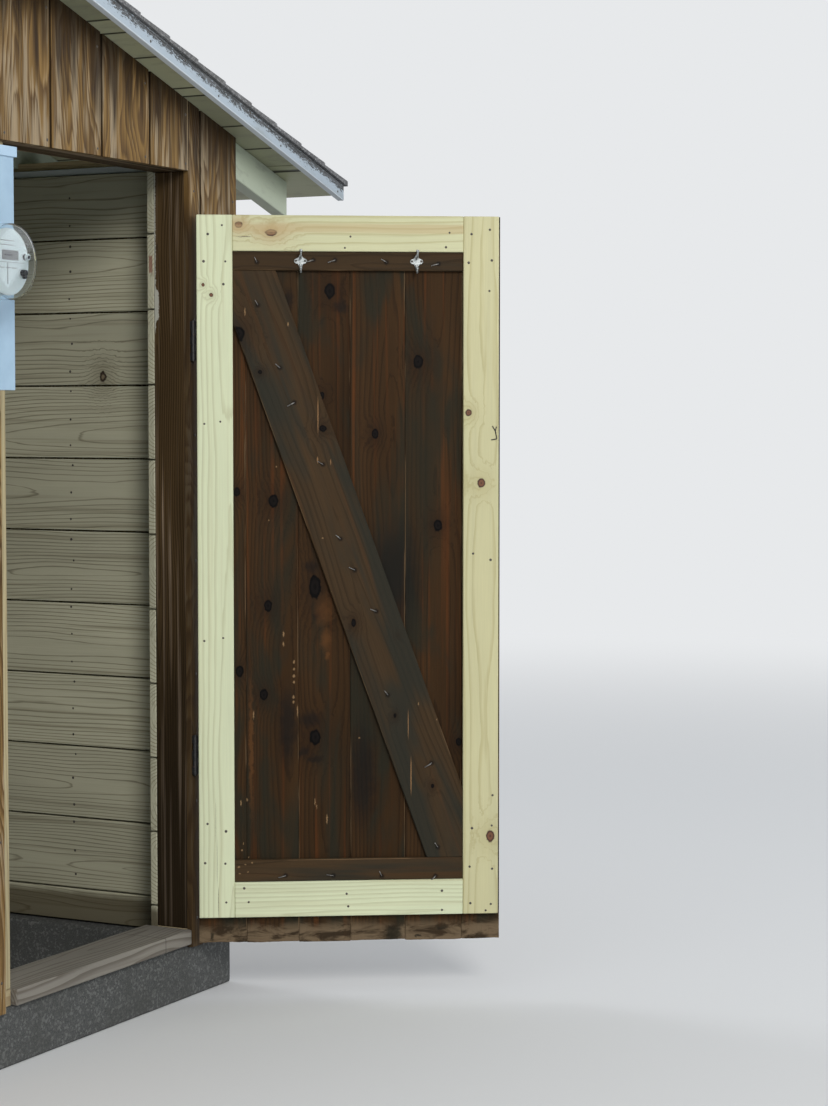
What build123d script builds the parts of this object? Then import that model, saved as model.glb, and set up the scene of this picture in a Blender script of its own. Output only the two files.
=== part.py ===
from build123d import *
import os
from math import atan, cos, radians, sin

os.makedirs("parts", exist_ok=True)

# A small gabled outdoor shower: a timber frame on a concrete curb, grooved plywood
# outside, boards inside, a shingled roof, and a plank door hung on the front wall.
# Millimetres. X runs right along the front wall, Y goes into the building, Z is up.
# The origin is on the ground, under the middle of the front studs, near the doorway's
# middle.

# Driving dimensions of the walls
building_width = 1829.0        # over the siding
building_depth = 1829.0
corner_to_doorway = 224.0      # from the right corner to the right side of the doorway
doorway_width = 737.0          # between the two door posts
doorway_from_origin = 364.0    # from the origin to the right side of the doorway
curb_height = 138.0
curb_width = 150.0
curb_chamfer = 8.0
stud_width = 89.0
stud_thickness = 38.0
siding_thickness = 16.0
siding_lap = 8.0               # the siding hangs this far below the top of the curb
siding_joint = 3.0
left_sheet_setback = 39.0      # the left sheet stops this far short of the doorway
groove_pitch = 203.2
groove_width = 9.5
groove_depth = 6.0
right_groove = 170.3           # from the right corner to the first groove
header_groove = 173.0          # from the doorway's right side to the first groove above it
left_groove = 101.6            # from the left sheet's edge to its first groove
header_underside = 2070.0
plate_underside = 2087.0
fit_gap = 1.0                  # between timbers of one node

lining_thickness = 20.0
lining_board = 184.0
lining_gap = 4.0
lining_bottom = 143.0
lining_starter = 82.0          # the ripped board at the foot
lining_count = 10              # boards above the starter
lining_top = 2085.0
cap_height = 17.0
cap_thickness = 10.0

sill_width = 140.0
sill_play = 2.0
sill_rounding = 4.0

# Driving dimensions of the roof
roof_slope = 0.3043            # rise over run
rafter_heel = 48.4             # roof boards above the side plates, over the siding
rafter_depth = 89.0
ridge_thickness = 19.0
ridge_depth = 140.0
tail_overhang = 286.0          # rafter tails beyond the side siding
eave_overhang = 390.0          # roof boards beyond the side siding
rake_overhang = 100.0          # roof beyond the front and back siding
tail_play = 2.0                # siding notch round a rafter tail
sheathing_thickness = 25.0
sheathing_gap = 2.0
sheathing_boards = (170.0, 36.0, 112.0, 139.0, 181.0, 45.0, 169.5, 129.5, 66.0, 130.0)
rake_thickness = 19.0
rake_drop = 14.0               # the rake board hangs this far below the roof boards
shingle_exposure = 130.0
shingle_butt = 13.0
shingle_head = 8.0
shingle_projection = 8.0       # beyond the rake boards and the eave
ridge_cap_width = 150.0
ridge_cap_thickness = 6.0

# Driving dimensions of the door
opening_angle = 122.0          # how far the door stands open
axis_offset = 3.5              # hinge axis, right of the doorway's right side
axis_stand_off = 8.0           # hinge axis, in front of the siding
door_bottom = 140.0
door_top = 1961.0
door_board_width = 757.5
door_board_thickness = 19.0
board_joints = (128.0, 259.0, 389.0, 527.0, 670.0)
bead_width = 4.0
bead_depth = 3.0
frame_width = 752.5
frame_bottom = 208.0
frame_timber = 89.0
frame_thickness = 19.0
ledge_thickness = 14.0
top_ledge_bottom = 1825.0
bottom_ledge_top = 352.0
brace_width = 145.0
brace_lean = 19.8
brace_middle = (392.9, 1088.5)

axis_to_door = 8.5
hinge_height = 97.0
hinge_centres = (617.0, 1651.0)
knuckle_radius = 5.5
knuckle_bore = 2.6
knuckle_count = 5
knuckle_gap = 0.5
pin_radius = 2.5
pin_head_radius = 4.2
pin_head_height = 2.5
leaf_thickness = 3.0
leaf_reach = 17.5              # fixed leaf, right of the hinge axis
leaf_back = 2.3                # either leaf, past the axis where it carries a knuckle
leaf_notch = 4.0               # either leaf, where the other one's knuckle turns
door_leaf_thickness = 3.5
door_leaf_depth = 14.0

hook_positions = (266.0, 555.0)
hook_height = 1848.0
hook_plate = (34.0, 44.0, 2.5)
hook_wire = 3.0
hook_ball = 5.5

latch_height = 1407.0
latch_wire = 1.2
latch_play = 0.05
latch_bend_radius = 2.0
# points of the bent wire: from the door's free edge, and above the latch's height
latch_wire_points = ((15.3, 31.6), (8.8, 20.3), (4.5, 0.3), (18.8, -2.2))
latch_spur_points = ((5.8, 30.4), (8.8, 20.3))

# Driving dimensions of the meter
meter_from_sheet_edge = 119.0
meter_size = (280.0, 130.0, 516.0)
meter_bottom = 1518.0
meter_wall = 2.0
meter_rounding = 6.0
meter_lip = 22.0
meter_lip_proud = 4.0
meter_drop = 253.0             # glass centre below the top of the box
collar_radius = 92.0
collar_depth = 16.0
glass_radius = 79.0
glass_depth = 107.5
glass_wall = 3.5
glass_rounding = 16.0
dial_body_radius = 58.0
dial_radius = 71.0
dial_depth = 60.0
dial_thickness = 5.0

# Lines worked out from the sizes
frame_front = -stud_width / 2
front_face = frame_front - siding_thickness
back_face = front_face + building_depth
frame_back = back_face - siding_thickness
right_jamb = doorway_from_origin
left_jamb = right_jamb - doorway_width
right_face = right_jamb + corner_to_doorway
left_face = right_face - building_width
frame_right = right_face - siding_thickness
frame_left = left_face + siding_thickness
studs_right = frame_right - stud_width
studs_left = frame_left + stud_width
studs_front = frame_front + stud_width
studs_back = frame_back - stud_width
room_right = studs_right - lining_thickness
room_left = studs_left + lining_thickness
room_front = studs_front + lining_thickness
room_back = studs_back - lining_thickness
sill_top = curb_height + stud_thickness
siding_bottom = curb_height - siding_lap
header_top = header_underside + stud_thickness
plate_top = plate_underside + stud_thickness
soffit_height = plate_top + rafter_heel
left_sheet_edge = left_jamb - left_sheet_setback
half_width = building_width / 2
ridge_x = right_face - half_width
roof_angle = atan(roof_slope)
ridge_soffit = soffit_height + roof_slope * half_width
rake_front = front_face - rake_overhang
rake_back = back_face + rake_overhang
rafter_drop = rafter_depth / cos(roof_angle)
sides = (1.0, -1.0)


def save(piece, label):
    piece.part.label = label
    export_step(piece.part, f"parts/{label}.step")


def timber(x, y, z, mode=Mode.ADD):
    # one squared timber between three pairs of faces, in the active part
    with Locations(((x[0] + x[1]) / 2, (y[0] + y[1]) / 2, (z[0] + z[1]) / 2)):
        Box(x[1] - x[0], y[1] - y[0], z[1] - z[0], mode=mode)


def cross_section(y_back):
    # a plane across the building that extrudes towards the front
    return Plane(origin=(0, y_back, 0), x_dir=(1, 0, 0), z_dir=(0, -1, 0))


def on_slope(side, run, above=0.0):
    # a point of the cross section: level run from the ridge, and height above the
    # underside of the roof boards, square to the slope
    return (
        ridge_x + side * run,
        ridge_soffit - roof_slope * run + above / cos(roof_angle),
    )


def trim_to_roof():
    # cut the active part along the underside of the roof boards
    for side in sides:
        roof = Plane(
            origin=(ridge_x, 0, ridge_soffit),
            x_dir=(0, 1, 0),
            z_dir=(side * sin(roof_angle), 0, cos(roof_angle)),
        )
        split(bisect_by=roof, keep=Keep.BOTTOM)


def spaced(low, high, thickness, count):
    # lower faces of timbers spread evenly between two lines, ends included
    step = (high - low - thickness) / (count - 1)
    return [low + step * number for number in range(count)]


# Concrete curb, open in the middle, and the sill on it
with BuildPart() as curb:
    timber((frame_left, frame_right), (frame_front, frame_back), (0, curb_height))
    timber(
        (frame_left + curb_width, frame_right - curb_width),
        (frame_front + curb_width, frame_back - curb_width),
        (0, curb_height),
        mode=Mode.SUBTRACT,
    )
    inner_top = curb.faces().sort_by(Axis.Z)[-1].inner_wires()[0].edges()
    chamfer(inner_top, curb_chamfer)
save(curb, "foundation_curb")

with BuildPart() as sill:
    timber(
        (left_jamb + sill_play, right_jamb - sill_play),
        (front_face, front_face + sill_width),
        (curb_height, sill_top),
    )
    fillet(
        sill.edges().filter_by(Axis.X).group_by(Axis.Y)[0].sort_by(Axis.Z)[-1],
        sill_rounding,
    )
save(sill, "door_sill")

# Timber frame
with BuildPart() as sole_plates:
    level = (curb_height, sill_top)
    timber((studs_right, frame_right), (frame_front, frame_back), level)
    timber((frame_left, studs_left), (frame_front, frame_back), level)
    timber((studs_left + fit_gap, studs_right - fit_gap), (studs_back, frame_back), level)
    timber((right_jamb, studs_right - fit_gap), (frame_front, studs_front), level)
    timber((studs_left + fit_gap, left_jamb), (frame_front, studs_front), level)
save(sole_plates, "sole_plates")

post_height = (sill_top, header_underside)
with BuildPart() as right_post:
    timber((right_jamb, right_jamb + stud_thickness), (frame_front, studs_front), post_height)
save(right_post, "right_door_post")

# Two studs side by side, the near one left in sight past the edge of the siding
king_stud = left_jamb - stud_thickness - fit_gap
with BuildPart() as left_post:
    timber((left_jamb - stud_thickness, left_jamb), (frame_front, studs_front), post_height)
    timber((king_stud - stud_thickness, king_stud), (frame_front, studs_front), post_height)
save(left_post, "left_door_post")

with BuildPart() as wall_studs:
    for low in spaced(frame_front, frame_back, stud_thickness, 4):
        for span in ((studs_right, frame_right), (frame_left, studs_left)):
            timber(span, (low, low + stud_thickness), (sill_top, plate_underside))
    left_end = studs_left + fit_gap
    right_end = studs_right - fit_gap
    for low in spaced(left_end, king_stud, stud_thickness, 3)[:2]:
        timber((low, low + stud_thickness), (frame_front, studs_front), post_height)
    timber((right_end - stud_thickness, right_end), (frame_front, studs_front), post_height)
    for low in spaced(left_end, right_end, stud_thickness, 4):
        timber((low, low + stud_thickness), (studs_back, frame_back), post_height)
save(wall_studs, "wall_studs")

with BuildPart() as header:
    timber(
        (studs_left, studs_right),
        (frame_front, studs_front),
        (header_underside, header_top),
    )
save(header, "door_header")

with BuildPart() as top_plates:
    level = (plate_underside, plate_top)
    timber((studs_right, frame_right), (frame_front, frame_back), level)
    timber((frame_left, studs_left), (frame_front, frame_back), level)
    timber((left_end, right_end), (studs_back, frame_back), (header_underside, header_top))
save(top_plates, "top_plates")

# Rafters in pairs, notched over the side plates, with a plumb cut tail
rafter_lines = spaced(frame_front, frame_back, stud_thickness, 4)
ridge_run = ridge_thickness / 2
tail_run = half_width + tail_overhang
plate_middle = half_width - siding_thickness - stud_width / 2
with BuildPart() as rafters:
    for low in rafter_lines:
        with BuildSketch(cross_section(low + stud_thickness)):
            for side in sides:
                with BuildLine():
                    Polyline(
                        on_slope(side, ridge_run),
                        on_slope(side, tail_run),
                        on_slope(side, tail_run, -rafter_depth),
                        on_slope(side, ridge_run, -rafter_depth),
                        close=True,
                    )
                make_face()
                with Locations((ridge_x + side * plate_middle, plate_top - rafter_depth / 2)):
                    Rectangle(stud_width, rafter_depth, mode=Mode.SUBTRACT)
        extrude(amount=stud_thickness)
save(rafters, "rafters")

ridge_top = on_slope(1, ridge_run)[1]
ridge_width = (ridge_x - ridge_run, ridge_x + ridge_run)
ridge_height = (ridge_top - ridge_depth, ridge_top)
with BuildPart() as ridge:
    timber(ridge_width, (frame_front, frame_back), ridge_height)
save(ridge, "ridge_board")

# Short studs in the gables, up to the end rafters, and a post under the ridge
gable_step = (studs_right - studs_left) / 4
near = gable_step - stud_thickness / 2
far = gable_step + stud_thickness / 2
with BuildPart() as gable_studs:
    for low in (frame_front, frame_back - stud_thickness):
        with BuildSketch(cross_section(low + stud_thickness)):
            for side in sides:
                with BuildLine():
                    Polyline(
                        (ridge_x + side * near, header_top),
                        (ridge_x + side * far, header_top),
                        on_slope(side, far, -rafter_depth),
                        on_slope(side, near, -rafter_depth),
                        close=True,
                    )
                make_face()
        extrude(amount=stud_thickness)
        timber(
            (ridge_x - stud_thickness / 2, ridge_x + stud_thickness / 2),
            (low, low + stud_thickness),
            (header_top, ridge_top - ridge_depth),
        )
save(gable_studs, "gable_studs")

# Roof boards, laid from the eave up, with open joints
eave_run = half_width + eave_overhang
roof_back = rake_back - rake_thickness
roof_length = rake_back - rake_front - 2 * rake_thickness
board_edges = [eave_run]
for width in sheathing_boards:
    board_edges.append(board_edges[-1] - width)
board_edges.append(0.0)
for name, side in zip(("right", "left"), sides):
    with BuildPart() as sheathing:
        with BuildSketch(cross_section(roof_back)):
            for low_edge, high_edge in zip(board_edges, board_edges[1:]):
                with BuildLine():
                    Polyline(
                        on_slope(side, low_edge),
                        on_slope(side, high_edge + sheathing_gap),
                        on_slope(side, high_edge + sheathing_gap, sheathing_thickness),
                        on_slope(side, low_edge, sheathing_thickness),
                        close=True,
                    )
                make_face()
        extrude(amount=roof_length)
    save(sheathing, f"sheathing_{name}")

with BuildPart() as rakes:
    for back in (rake_front + rake_thickness, rake_back):
        with BuildSketch(cross_section(back)):
            for side in sides:
                with BuildLine():
                    Polyline(
                        on_slope(side, fit_gap, -rake_drop),
                        on_slope(side, eave_run, -rake_drop),
                        on_slope(side, eave_run, sheathing_thickness),
                        on_slope(side, fit_gap, sheathing_thickness),
                        close=True,
                    )
                make_face()
        extrude(amount=rake_thickness)
save(rakes, "rake_boards")

# Shingles in stepped courses, and a bent ridge cap
shingle_run = eave_run + shingle_projection
shingle_length = rake_back - rake_front + 2 * shingle_projection
course = shingle_exposure * cos(roof_angle)
for name, side in zip(("right", "left"), sides):
    points = [on_slope(side, fit_gap, sheathing_thickness)]
    points.append(on_slope(side, shingle_run, sheathing_thickness))
    run = shingle_run
    while run > course:
        points.append(on_slope(side, run, sheathing_thickness + shingle_butt))
        run -= course
        points.append(on_slope(side, run, sheathing_thickness + shingle_head))
    points.append(on_slope(side, run, sheathing_thickness + shingle_butt))
    points.append(on_slope(side, fit_gap, sheathing_thickness + shingle_butt))
    with BuildPart() as shingles:
        with BuildSketch(cross_section(rake_back + shingle_projection)):
            with BuildLine():
                Polyline(*points, close=True)
            make_face()
        extrude(amount=shingle_length)
    save(shingles, f"shingles_{name}")

cap_base = sheathing_thickness + shingle_butt
with BuildPart() as ridge_cap:
    with BuildSketch(cross_section(rake_back + shingle_projection)):
        with BuildLine():
            Polyline(
                on_slope(1, ridge_cap_width, cap_base),
                on_slope(1, ridge_cap_width, cap_base + ridge_cap_thickness),
                on_slope(1, 0, cap_base + ridge_cap_thickness),
                on_slope(-1, ridge_cap_width, cap_base + ridge_cap_thickness),
                on_slope(-1, ridge_cap_width, cap_base),
                on_slope(1, 0, cap_base),
                close=True,
            )
        make_face()
    extrude(amount=shingle_length)
save(ridge_cap, "ridge_cap")

# Grooved plywood on the front, in three sheets round the doorway
front_sheet = (front_face, frame_front)


def groove_front(at, outer_face, side, z):
    # one upright groove, cut into the front or back of the active sheet
    inner_face = outer_face + side * groove_depth
    timber(
        (at - groove_width / 2, at + groove_width / 2),
        (min(outer_face, inner_face), max(outer_face, inner_face)),
        z,
        mode=Mode.SUBTRACT,
    )


full_height = (siding_bottom, ridge_soffit)
with BuildPart() as siding_right:
    timber((right_jamb, right_face), front_sheet, full_height)
    groove_front(right_face - right_groove, front_face, 1, full_height)
    trim_to_roof()
save(siding_right, "front_siding_right")

over_door = (header_underside, ridge_soffit)
with BuildPart() as siding_header:
    timber(
        (left_sheet_edge + siding_joint, right_jamb - siding_joint), front_sheet, over_door
    )
    for number in range(3):
        groove_front(
            right_jamb - header_groove - number * groove_pitch, front_face, 1, over_door
        )
    trim_to_roof()
save(siding_header, "front_siding_header")

with BuildPart() as siding_left:
    timber((left_face, left_sheet_edge), front_sheet, full_height)
    for number in range(4):
        groove_front(
            left_sheet_edge - left_groove - number * groove_pitch, front_face, 1, full_height
        )
    trim_to_roof()
save(siding_left, "front_siding_left")

with BuildPart() as siding_back:
    timber((left_face, right_face), (frame_back, back_face), full_height)
    for number in range(9):
        groove_front(
            left_face + left_groove + number * groove_pitch, back_face, -1, full_height
        )
    trim_to_roof()
save(siding_back, "back_siding")

# The side sheets, notched round the rafter tails
tail_underside = soffit_height - rafter_drop
for name, outer, inner in (
    ("right_siding", right_face, frame_right),
    ("left_siding", left_face, frame_left),
):
    span = (min(outer, inner), max(outer, inner))
    with BuildPart() as side_sheet:
        timber(span, (frame_front, frame_back), (siding_bottom, plate_top))
        inwards = 1 if inner > outer else -1
        cut = outer + inwards * groove_depth
        for number in range(9):
            at = frame_front + left_groove - siding_thickness + number * groove_pitch
            timber(
                (min(outer, cut), max(outer, cut)),
                (at - groove_width / 2, at + groove_width / 2),
                (siding_bottom, plate_top),
                mode=Mode.SUBTRACT,
            )
        for low in rafter_lines:
            timber(
                span,
                (low - tail_play, low + stud_thickness + tail_play),
                (tail_underside - tail_play, plate_top),
                mode=Mode.SUBTRACT,
            )
    save(side_sheet, name)

# Board lining inside, from the ripped board at the foot up
lining_levels = [(lining_bottom, lining_bottom + lining_starter)]
for number in range(lining_count):
    low = lining_levels[-1][1] + lining_gap
    lining_levels.append((low, min(low + lining_board, lining_top)))

lining_sides = (studs_front, studs_back)
linings = {
    "lining_right": (((room_right, studs_right), lining_sides),),
    "lining_left": (((studs_left, room_left), lining_sides),),
    "lining_back": (((room_left, room_right), (room_back, studs_back)),),
    "lining_front": (
        ((right_jamb, room_right), (studs_front, room_front)),
        ((room_left, left_jamb), (studs_front, room_front)),
    ),
}
for name, spans in linings.items():
    with BuildPart() as lining:
        for x, y in spans:
            for level in lining_levels:
                timber(x, y, level)
    save(lining, name)

with BuildPart() as caps:
    level = (plate_underside, plate_underside + cap_height)
    timber((studs_right - cap_thickness, studs_right), lining_sides, level)
    timber((studs_left, studs_left + cap_thickness), lining_sides, level)
save(caps, "lining_cap_strips")

# Meter box on the front wall, left of the doorway, open at the back
meter_right = left_sheet_edge - meter_from_sheet_edge
meter_x = (meter_right - meter_size[0], meter_right)
meter_front = front_face - meter_size[1]
meter_top = meter_bottom + meter_size[2]
with BuildPart() as meter_box:
    timber(meter_x, (meter_front, front_face), (meter_bottom, meter_top))
    fillet(meter_box.edges().filter_by(Axis.Z).group_by(Axis.Y)[0], meter_rounding)
    timber(
        (meter_x[0] - meter_lip_proud, meter_x[1] + meter_lip_proud),
        (meter_front - meter_lip_proud, front_face),
        (meter_top - meter_lip, meter_top),
    )
    timber(
        (meter_x[0] + meter_wall, meter_x[1] - meter_wall),
        (meter_front + meter_wall, front_face),
        (meter_bottom + meter_wall, meter_top - meter_wall),
        mode=Mode.SUBTRACT,
    )
save(meter_box, "meter_box")

meter_axis = Plane(
    origin=((meter_x[0] + meter_x[1]) / 2, meter_front, meter_top - meter_drop),
    x_dir=(1, 0, 0),
    z_dir=(0, -1, 0),
)
with BuildPart() as collar:
    with BuildSketch(meter_axis):
        Circle(collar_radius)
        Circle(glass_radius, mode=Mode.SUBTRACT)
    extrude(amount=collar_depth)
    fillet(collar.faces().sort_by(Axis.Y)[0].outer_wire().edges(), collar_depth / 3)
save(collar, "meter_collar")

with BuildPart() as glass:
    with BuildSketch(meter_axis):
        Circle(glass_radius)
    extrude(amount=glass_depth)
    fillet(glass.faces().sort_by(Axis.Y)[0].edges(), glass_rounding)
    offset(
        amount=-glass_wall,
        openings=glass.faces().sort_by(Axis.Y)[-1],
        kind=Kind.INTERSECTION,
    )
save(glass, "meter_glass")

with BuildPart() as dial:
    with BuildSketch(meter_axis):
        Circle(dial_body_radius)
    extrude(amount=dial_depth)
    with BuildSketch(meter_axis.offset(dial_depth)):
        Circle(dial_radius)
    extrude(amount=dial_thickness)
save(dial, "meter_dial")

# The door in its own plane: across from the hinge axis, up, and towards its inner side
axis_x = right_jamb + axis_offset
axis_y = front_face - axis_stand_off
turn = radians(opening_angle)
door_across = (-cos(turn), -sin(turn), 0)
door_inwards = (-sin(turn), cos(turn), 0)
door_face = Plane(origin=(axis_x, axis_y, 0), x_dir=door_across, z_dir=door_inwards)


def door_timber(across, up, start, thickness, mode=Mode.ADD):
    # one flat piece of the door, in the active part
    middle = ((across[0] + across[1]) / 2, (up[0] + up[1]) / 2, start + thickness / 2)
    with Locations(door_face.location * Location(middle)):
        Box(across[1] - across[0], up[1] - up[0], thickness, mode=mode)


with BuildPart() as boards:
    whole = (door_bottom, door_top)
    door_timber(
        (axis_to_door, axis_to_door + door_board_width),
        whole,
        -door_board_thickness,
        door_board_thickness,
    )
    for joint in board_joints:
        strip = (joint - bead_width / 2, joint + bead_width / 2)
        door_timber(strip, whole, -bead_depth, bead_depth, mode=Mode.SUBTRACT)
        door_timber(strip, whole, -door_board_thickness, bead_depth, mode=Mode.SUBTRACT)
save(boards, "door_boards")

stile_edge = axis_to_door + frame_timber
free_edge = axis_to_door + frame_width
latch_edge = free_edge - frame_timber
between = (stile_edge, latch_edge)
frame_height = (frame_bottom, door_top)
with BuildPart() as hinge_stile:
    door_timber((axis_to_door, stile_edge), frame_height, 0, frame_thickness)
save(hinge_stile, "hinge_stile")

with BuildPart() as latch_stile:
    door_timber((latch_edge, free_edge), frame_height, 0, frame_thickness)
save(latch_stile, "latch_stile")

top_rail_bottom = door_top - frame_timber
with BuildPart() as top_rail:
    door_timber(between, (top_rail_bottom, door_top), 0, frame_thickness)
save(top_rail, "top_rail")

bottom_rail_top = frame_bottom + frame_timber
with BuildPart() as bottom_rail:
    door_timber(between, (frame_bottom, bottom_rail_top), 0, frame_thickness)
save(bottom_rail, "bottom_rail")

with BuildPart() as top_ledge:
    door_timber(between, (top_ledge_bottom, top_rail_bottom), 0, ledge_thickness)
save(top_ledge, "top_ledge")

with BuildPart() as bottom_ledge:
    door_timber(between, (bottom_rail_top, bottom_ledge_top), 0, ledge_thickness)
save(bottom_ledge, "bottom_ledge")

with BuildPart() as brace:
    with BuildSketch(door_face):
        with Locations(brace_middle):
            Rectangle(brace_width, door_top, rotation=brace_lean)
        with Locations(
            ((stile_edge + latch_edge) / 2, (bottom_ledge_top + top_ledge_bottom) / 2)
        ):
            Rectangle(
                latch_edge - stile_edge,
                top_ledge_bottom - bottom_ledge_top,
                mode=Mode.INTERSECT,
            )
    extrude(amount=ledge_thickness)
save(brace, "brace")

# Hinges: one leaf on the face of the siding, one on the edge of the door
knuckle_pitch = hinge_height / knuckle_count
knuckle_length = knuckle_pitch - knuckle_gap
hinge_feet = [centre - hinge_height / 2 for centre in hinge_centres]
with BuildPart() as fixed_leaves:
    for foot in hinge_feet:
        leaf = (front_face - leaf_thickness, front_face)
        timber((axis_x - leaf_back, axis_x + leaf_reach), leaf, (foot, foot + hinge_height))
        for number in (1, 3):
            low = foot + number * knuckle_pitch - knuckle_gap
            timber(
                (axis_x - leaf_back, axis_x + leaf_notch),
                leaf,
                (low, low + knuckle_pitch + knuckle_gap),
                mode=Mode.SUBTRACT,
            )
        for number in (0, 2, 4):
            middle = foot + number * knuckle_pitch + knuckle_length / 2
            with Locations((axis_x, axis_y, middle)):
                Cylinder(knuckle_radius, knuckle_length)
        with Locations((axis_x, axis_y, foot + hinge_height / 2)):
            Cylinder(knuckle_bore, 2 * hinge_height, mode=Mode.SUBTRACT)
save(fixed_leaves, "hinge_leaves_fixed")

with BuildPart() as door_leaves:
    for foot in hinge_feet:
        edge = (axis_to_door - door_leaf_thickness, axis_to_door)
        door_timber(
            edge,
            (foot, foot + hinge_height),
            -door_leaf_depth,
            door_leaf_depth + leaf_back,
        )
        for number in (0, 2, 4):
            low = foot + number * knuckle_pitch - knuckle_gap
            door_timber(
                edge,
                (low, low + knuckle_pitch + knuckle_gap),
                -leaf_notch,
                leaf_notch + leaf_back,
                mode=Mode.SUBTRACT,
            )
        for number in (1, 3):
            middle = foot + number * knuckle_pitch + knuckle_length / 2
            with Locations((axis_x, axis_y, middle)):
                Cylinder(knuckle_radius, knuckle_length)
        with Locations((axis_x, axis_y, foot + hinge_height / 2)):
            Cylinder(knuckle_bore, 2 * hinge_height, mode=Mode.SUBTRACT)
save(door_leaves, "hinge_leaves_door")

with BuildPart() as pins:
    for foot in hinge_feet:
        top = foot + hinge_height - knuckle_gap
        with Locations((axis_x, axis_y, (foot + top) / 2)):
            Cylinder(pin_radius, top - foot)
        for level in (foot - pin_head_height / 2, top + pin_head_height / 2):
            with Locations((axis_x, axis_y, level)):
                Cylinder(pin_head_radius, pin_head_height)
save(pins, "hinge_pins")

# Coat hooks on the top ledge: a plate, an upper prong and a shorter lower one
hook_side = (-door_across[0], -door_across[1], 0)
with BuildPart() as hooks:
    for across in hook_positions:
        face = door_face.offset(ledge_thickness)
        foot_point = face.from_local_coords((across, hook_height, 0))
        with BuildSketch(Plane(origin=foot_point, x_dir=door_across, z_dir=door_inwards)):
            RectangleRounded(hook_plate[0], hook_plate[1], hook_plate[0] / 4)
        extrude(amount=hook_plate[2])
        profile = Plane(origin=foot_point, x_dir=door_inwards, z_dir=hook_side)
        with BuildLine(profile) as upper:
            Line((1, 8), (16, 8))
            JernArc(start=(16, 8), tangent=(1, 0), radius=14, arc_size=80)
        with BuildSketch(Plane(origin=upper.line @ 0, z_dir=upper.line % 0)):
            Circle(hook_wire)
        sweep()
        with Locations(Location(upper.line @ 1)):
            Sphere(hook_ball)
        with BuildLine(profile) as lower:
            Line((3.4, -8), (6.2, -22))
            JernArc(start=(6.2, -22), tangent=(2.8, -14), radius=9, arc_size=150)
        with BuildSketch(Plane(origin=lower.line @ 0, z_dir=lower.line % 0)):
            Circle(hook_wire)
        sweep()
        with Locations(Location(lower.line @ 1)):
            Sphere(hook_ball - 1)
save(hooks, "coat_hooks")

# A bent wire hook, lying flat on the latch stile near its free edge
latch_plane = door_face.offset(frame_thickness + latch_wire + latch_play)
with BuildPart() as latch:
    for points in (latch_wire_points, latch_spur_points):
        places = [(free_edge - across, latch_height + up) for across, up in points]
        with BuildLine(latch_plane) as wire:
            if len(places) > 2:
                FilletPolyline(*places, radius=latch_bend_radius)
            else:
                Line(*places)
        with BuildSketch(Plane(origin=wire.line @ 0, z_dir=wire.line % 0)):
            Circle(latch_wire)
        sweep()
        with Locations(Location(wire.line @ 0)):
            Sphere(latch_wire)
save(latch, "latch_hook")
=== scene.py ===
import math
import random

import bmesh
import bpy
from mathutils import Matrix, Vector


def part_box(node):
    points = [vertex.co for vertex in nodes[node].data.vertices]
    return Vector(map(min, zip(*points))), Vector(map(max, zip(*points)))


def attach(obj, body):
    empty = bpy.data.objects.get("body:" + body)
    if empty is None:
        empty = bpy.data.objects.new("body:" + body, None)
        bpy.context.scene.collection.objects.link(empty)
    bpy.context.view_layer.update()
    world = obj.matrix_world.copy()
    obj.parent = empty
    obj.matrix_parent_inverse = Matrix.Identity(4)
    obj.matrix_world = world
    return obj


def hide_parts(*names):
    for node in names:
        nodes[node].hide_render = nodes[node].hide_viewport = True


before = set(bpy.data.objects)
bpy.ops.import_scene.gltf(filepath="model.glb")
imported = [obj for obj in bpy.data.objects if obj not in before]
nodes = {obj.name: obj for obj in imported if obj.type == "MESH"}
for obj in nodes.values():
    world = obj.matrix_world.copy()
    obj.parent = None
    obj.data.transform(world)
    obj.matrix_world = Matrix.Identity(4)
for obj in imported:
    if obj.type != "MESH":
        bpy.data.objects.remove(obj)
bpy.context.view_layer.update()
scene = bpy.context.scene
print("frame loaded", len(nodes), "nodes")

# The open door's own directions: across it, out of its inner face, and up
pivot = Vector((0.3675, -0.0685, 0))
across = Vector((0.5299, -0.8480, 0)).normalized()
inward = Vector((-0.8480, -0.5299, 0)).normalized()
upward = Vector((0, 0, 1))
fall = Vector((1, 0, -0.3043)).normalized()  # down the right roof slope
rise = Vector((1, 0, 0.3043)).normalized()   # up the left one
lean = math.radians(19.8)                    # the brace, from upright


def door(u, t, z):
    return pivot + across * (u / 1000) + inward * (t / 1000) + upward * (z / 1000)


def doorPixel(px, py, t=19.0):
    # a place on the door measured in the photograph, in mm across and up
    return door((px - 197.2) * 2.5075 + 8.5, t, 1825 - (py - 273) * 2.509)


grainFrames = {
    "x": (Vector((1, 0, 0)), Vector((0, 1, 0)), upward),
    "y": (Vector((0, 1, 0)), upward, Vector((1, 0, 0))),
    "up": (upward, Vector((1, 0, 0)), Vector((0, 1, 0))),
    "fall": (fall, Vector((0, 1, 0)), fall.cross(Vector((0, 1, 0)))),
    "rise": (rise, Vector((0, 1, 0)), rise.cross(Vector((0, 1, 0)))),
    "doorUp": (upward, across, inward),
    "doorAcross": (across, upward, inward),
}
braceDirection = (upward * math.cos(lean) - across * math.sin(lean)).normalized()
grainFrames["brace"] = (braceDirection, braceDirection.cross(inward).normalized(), inward)


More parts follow.
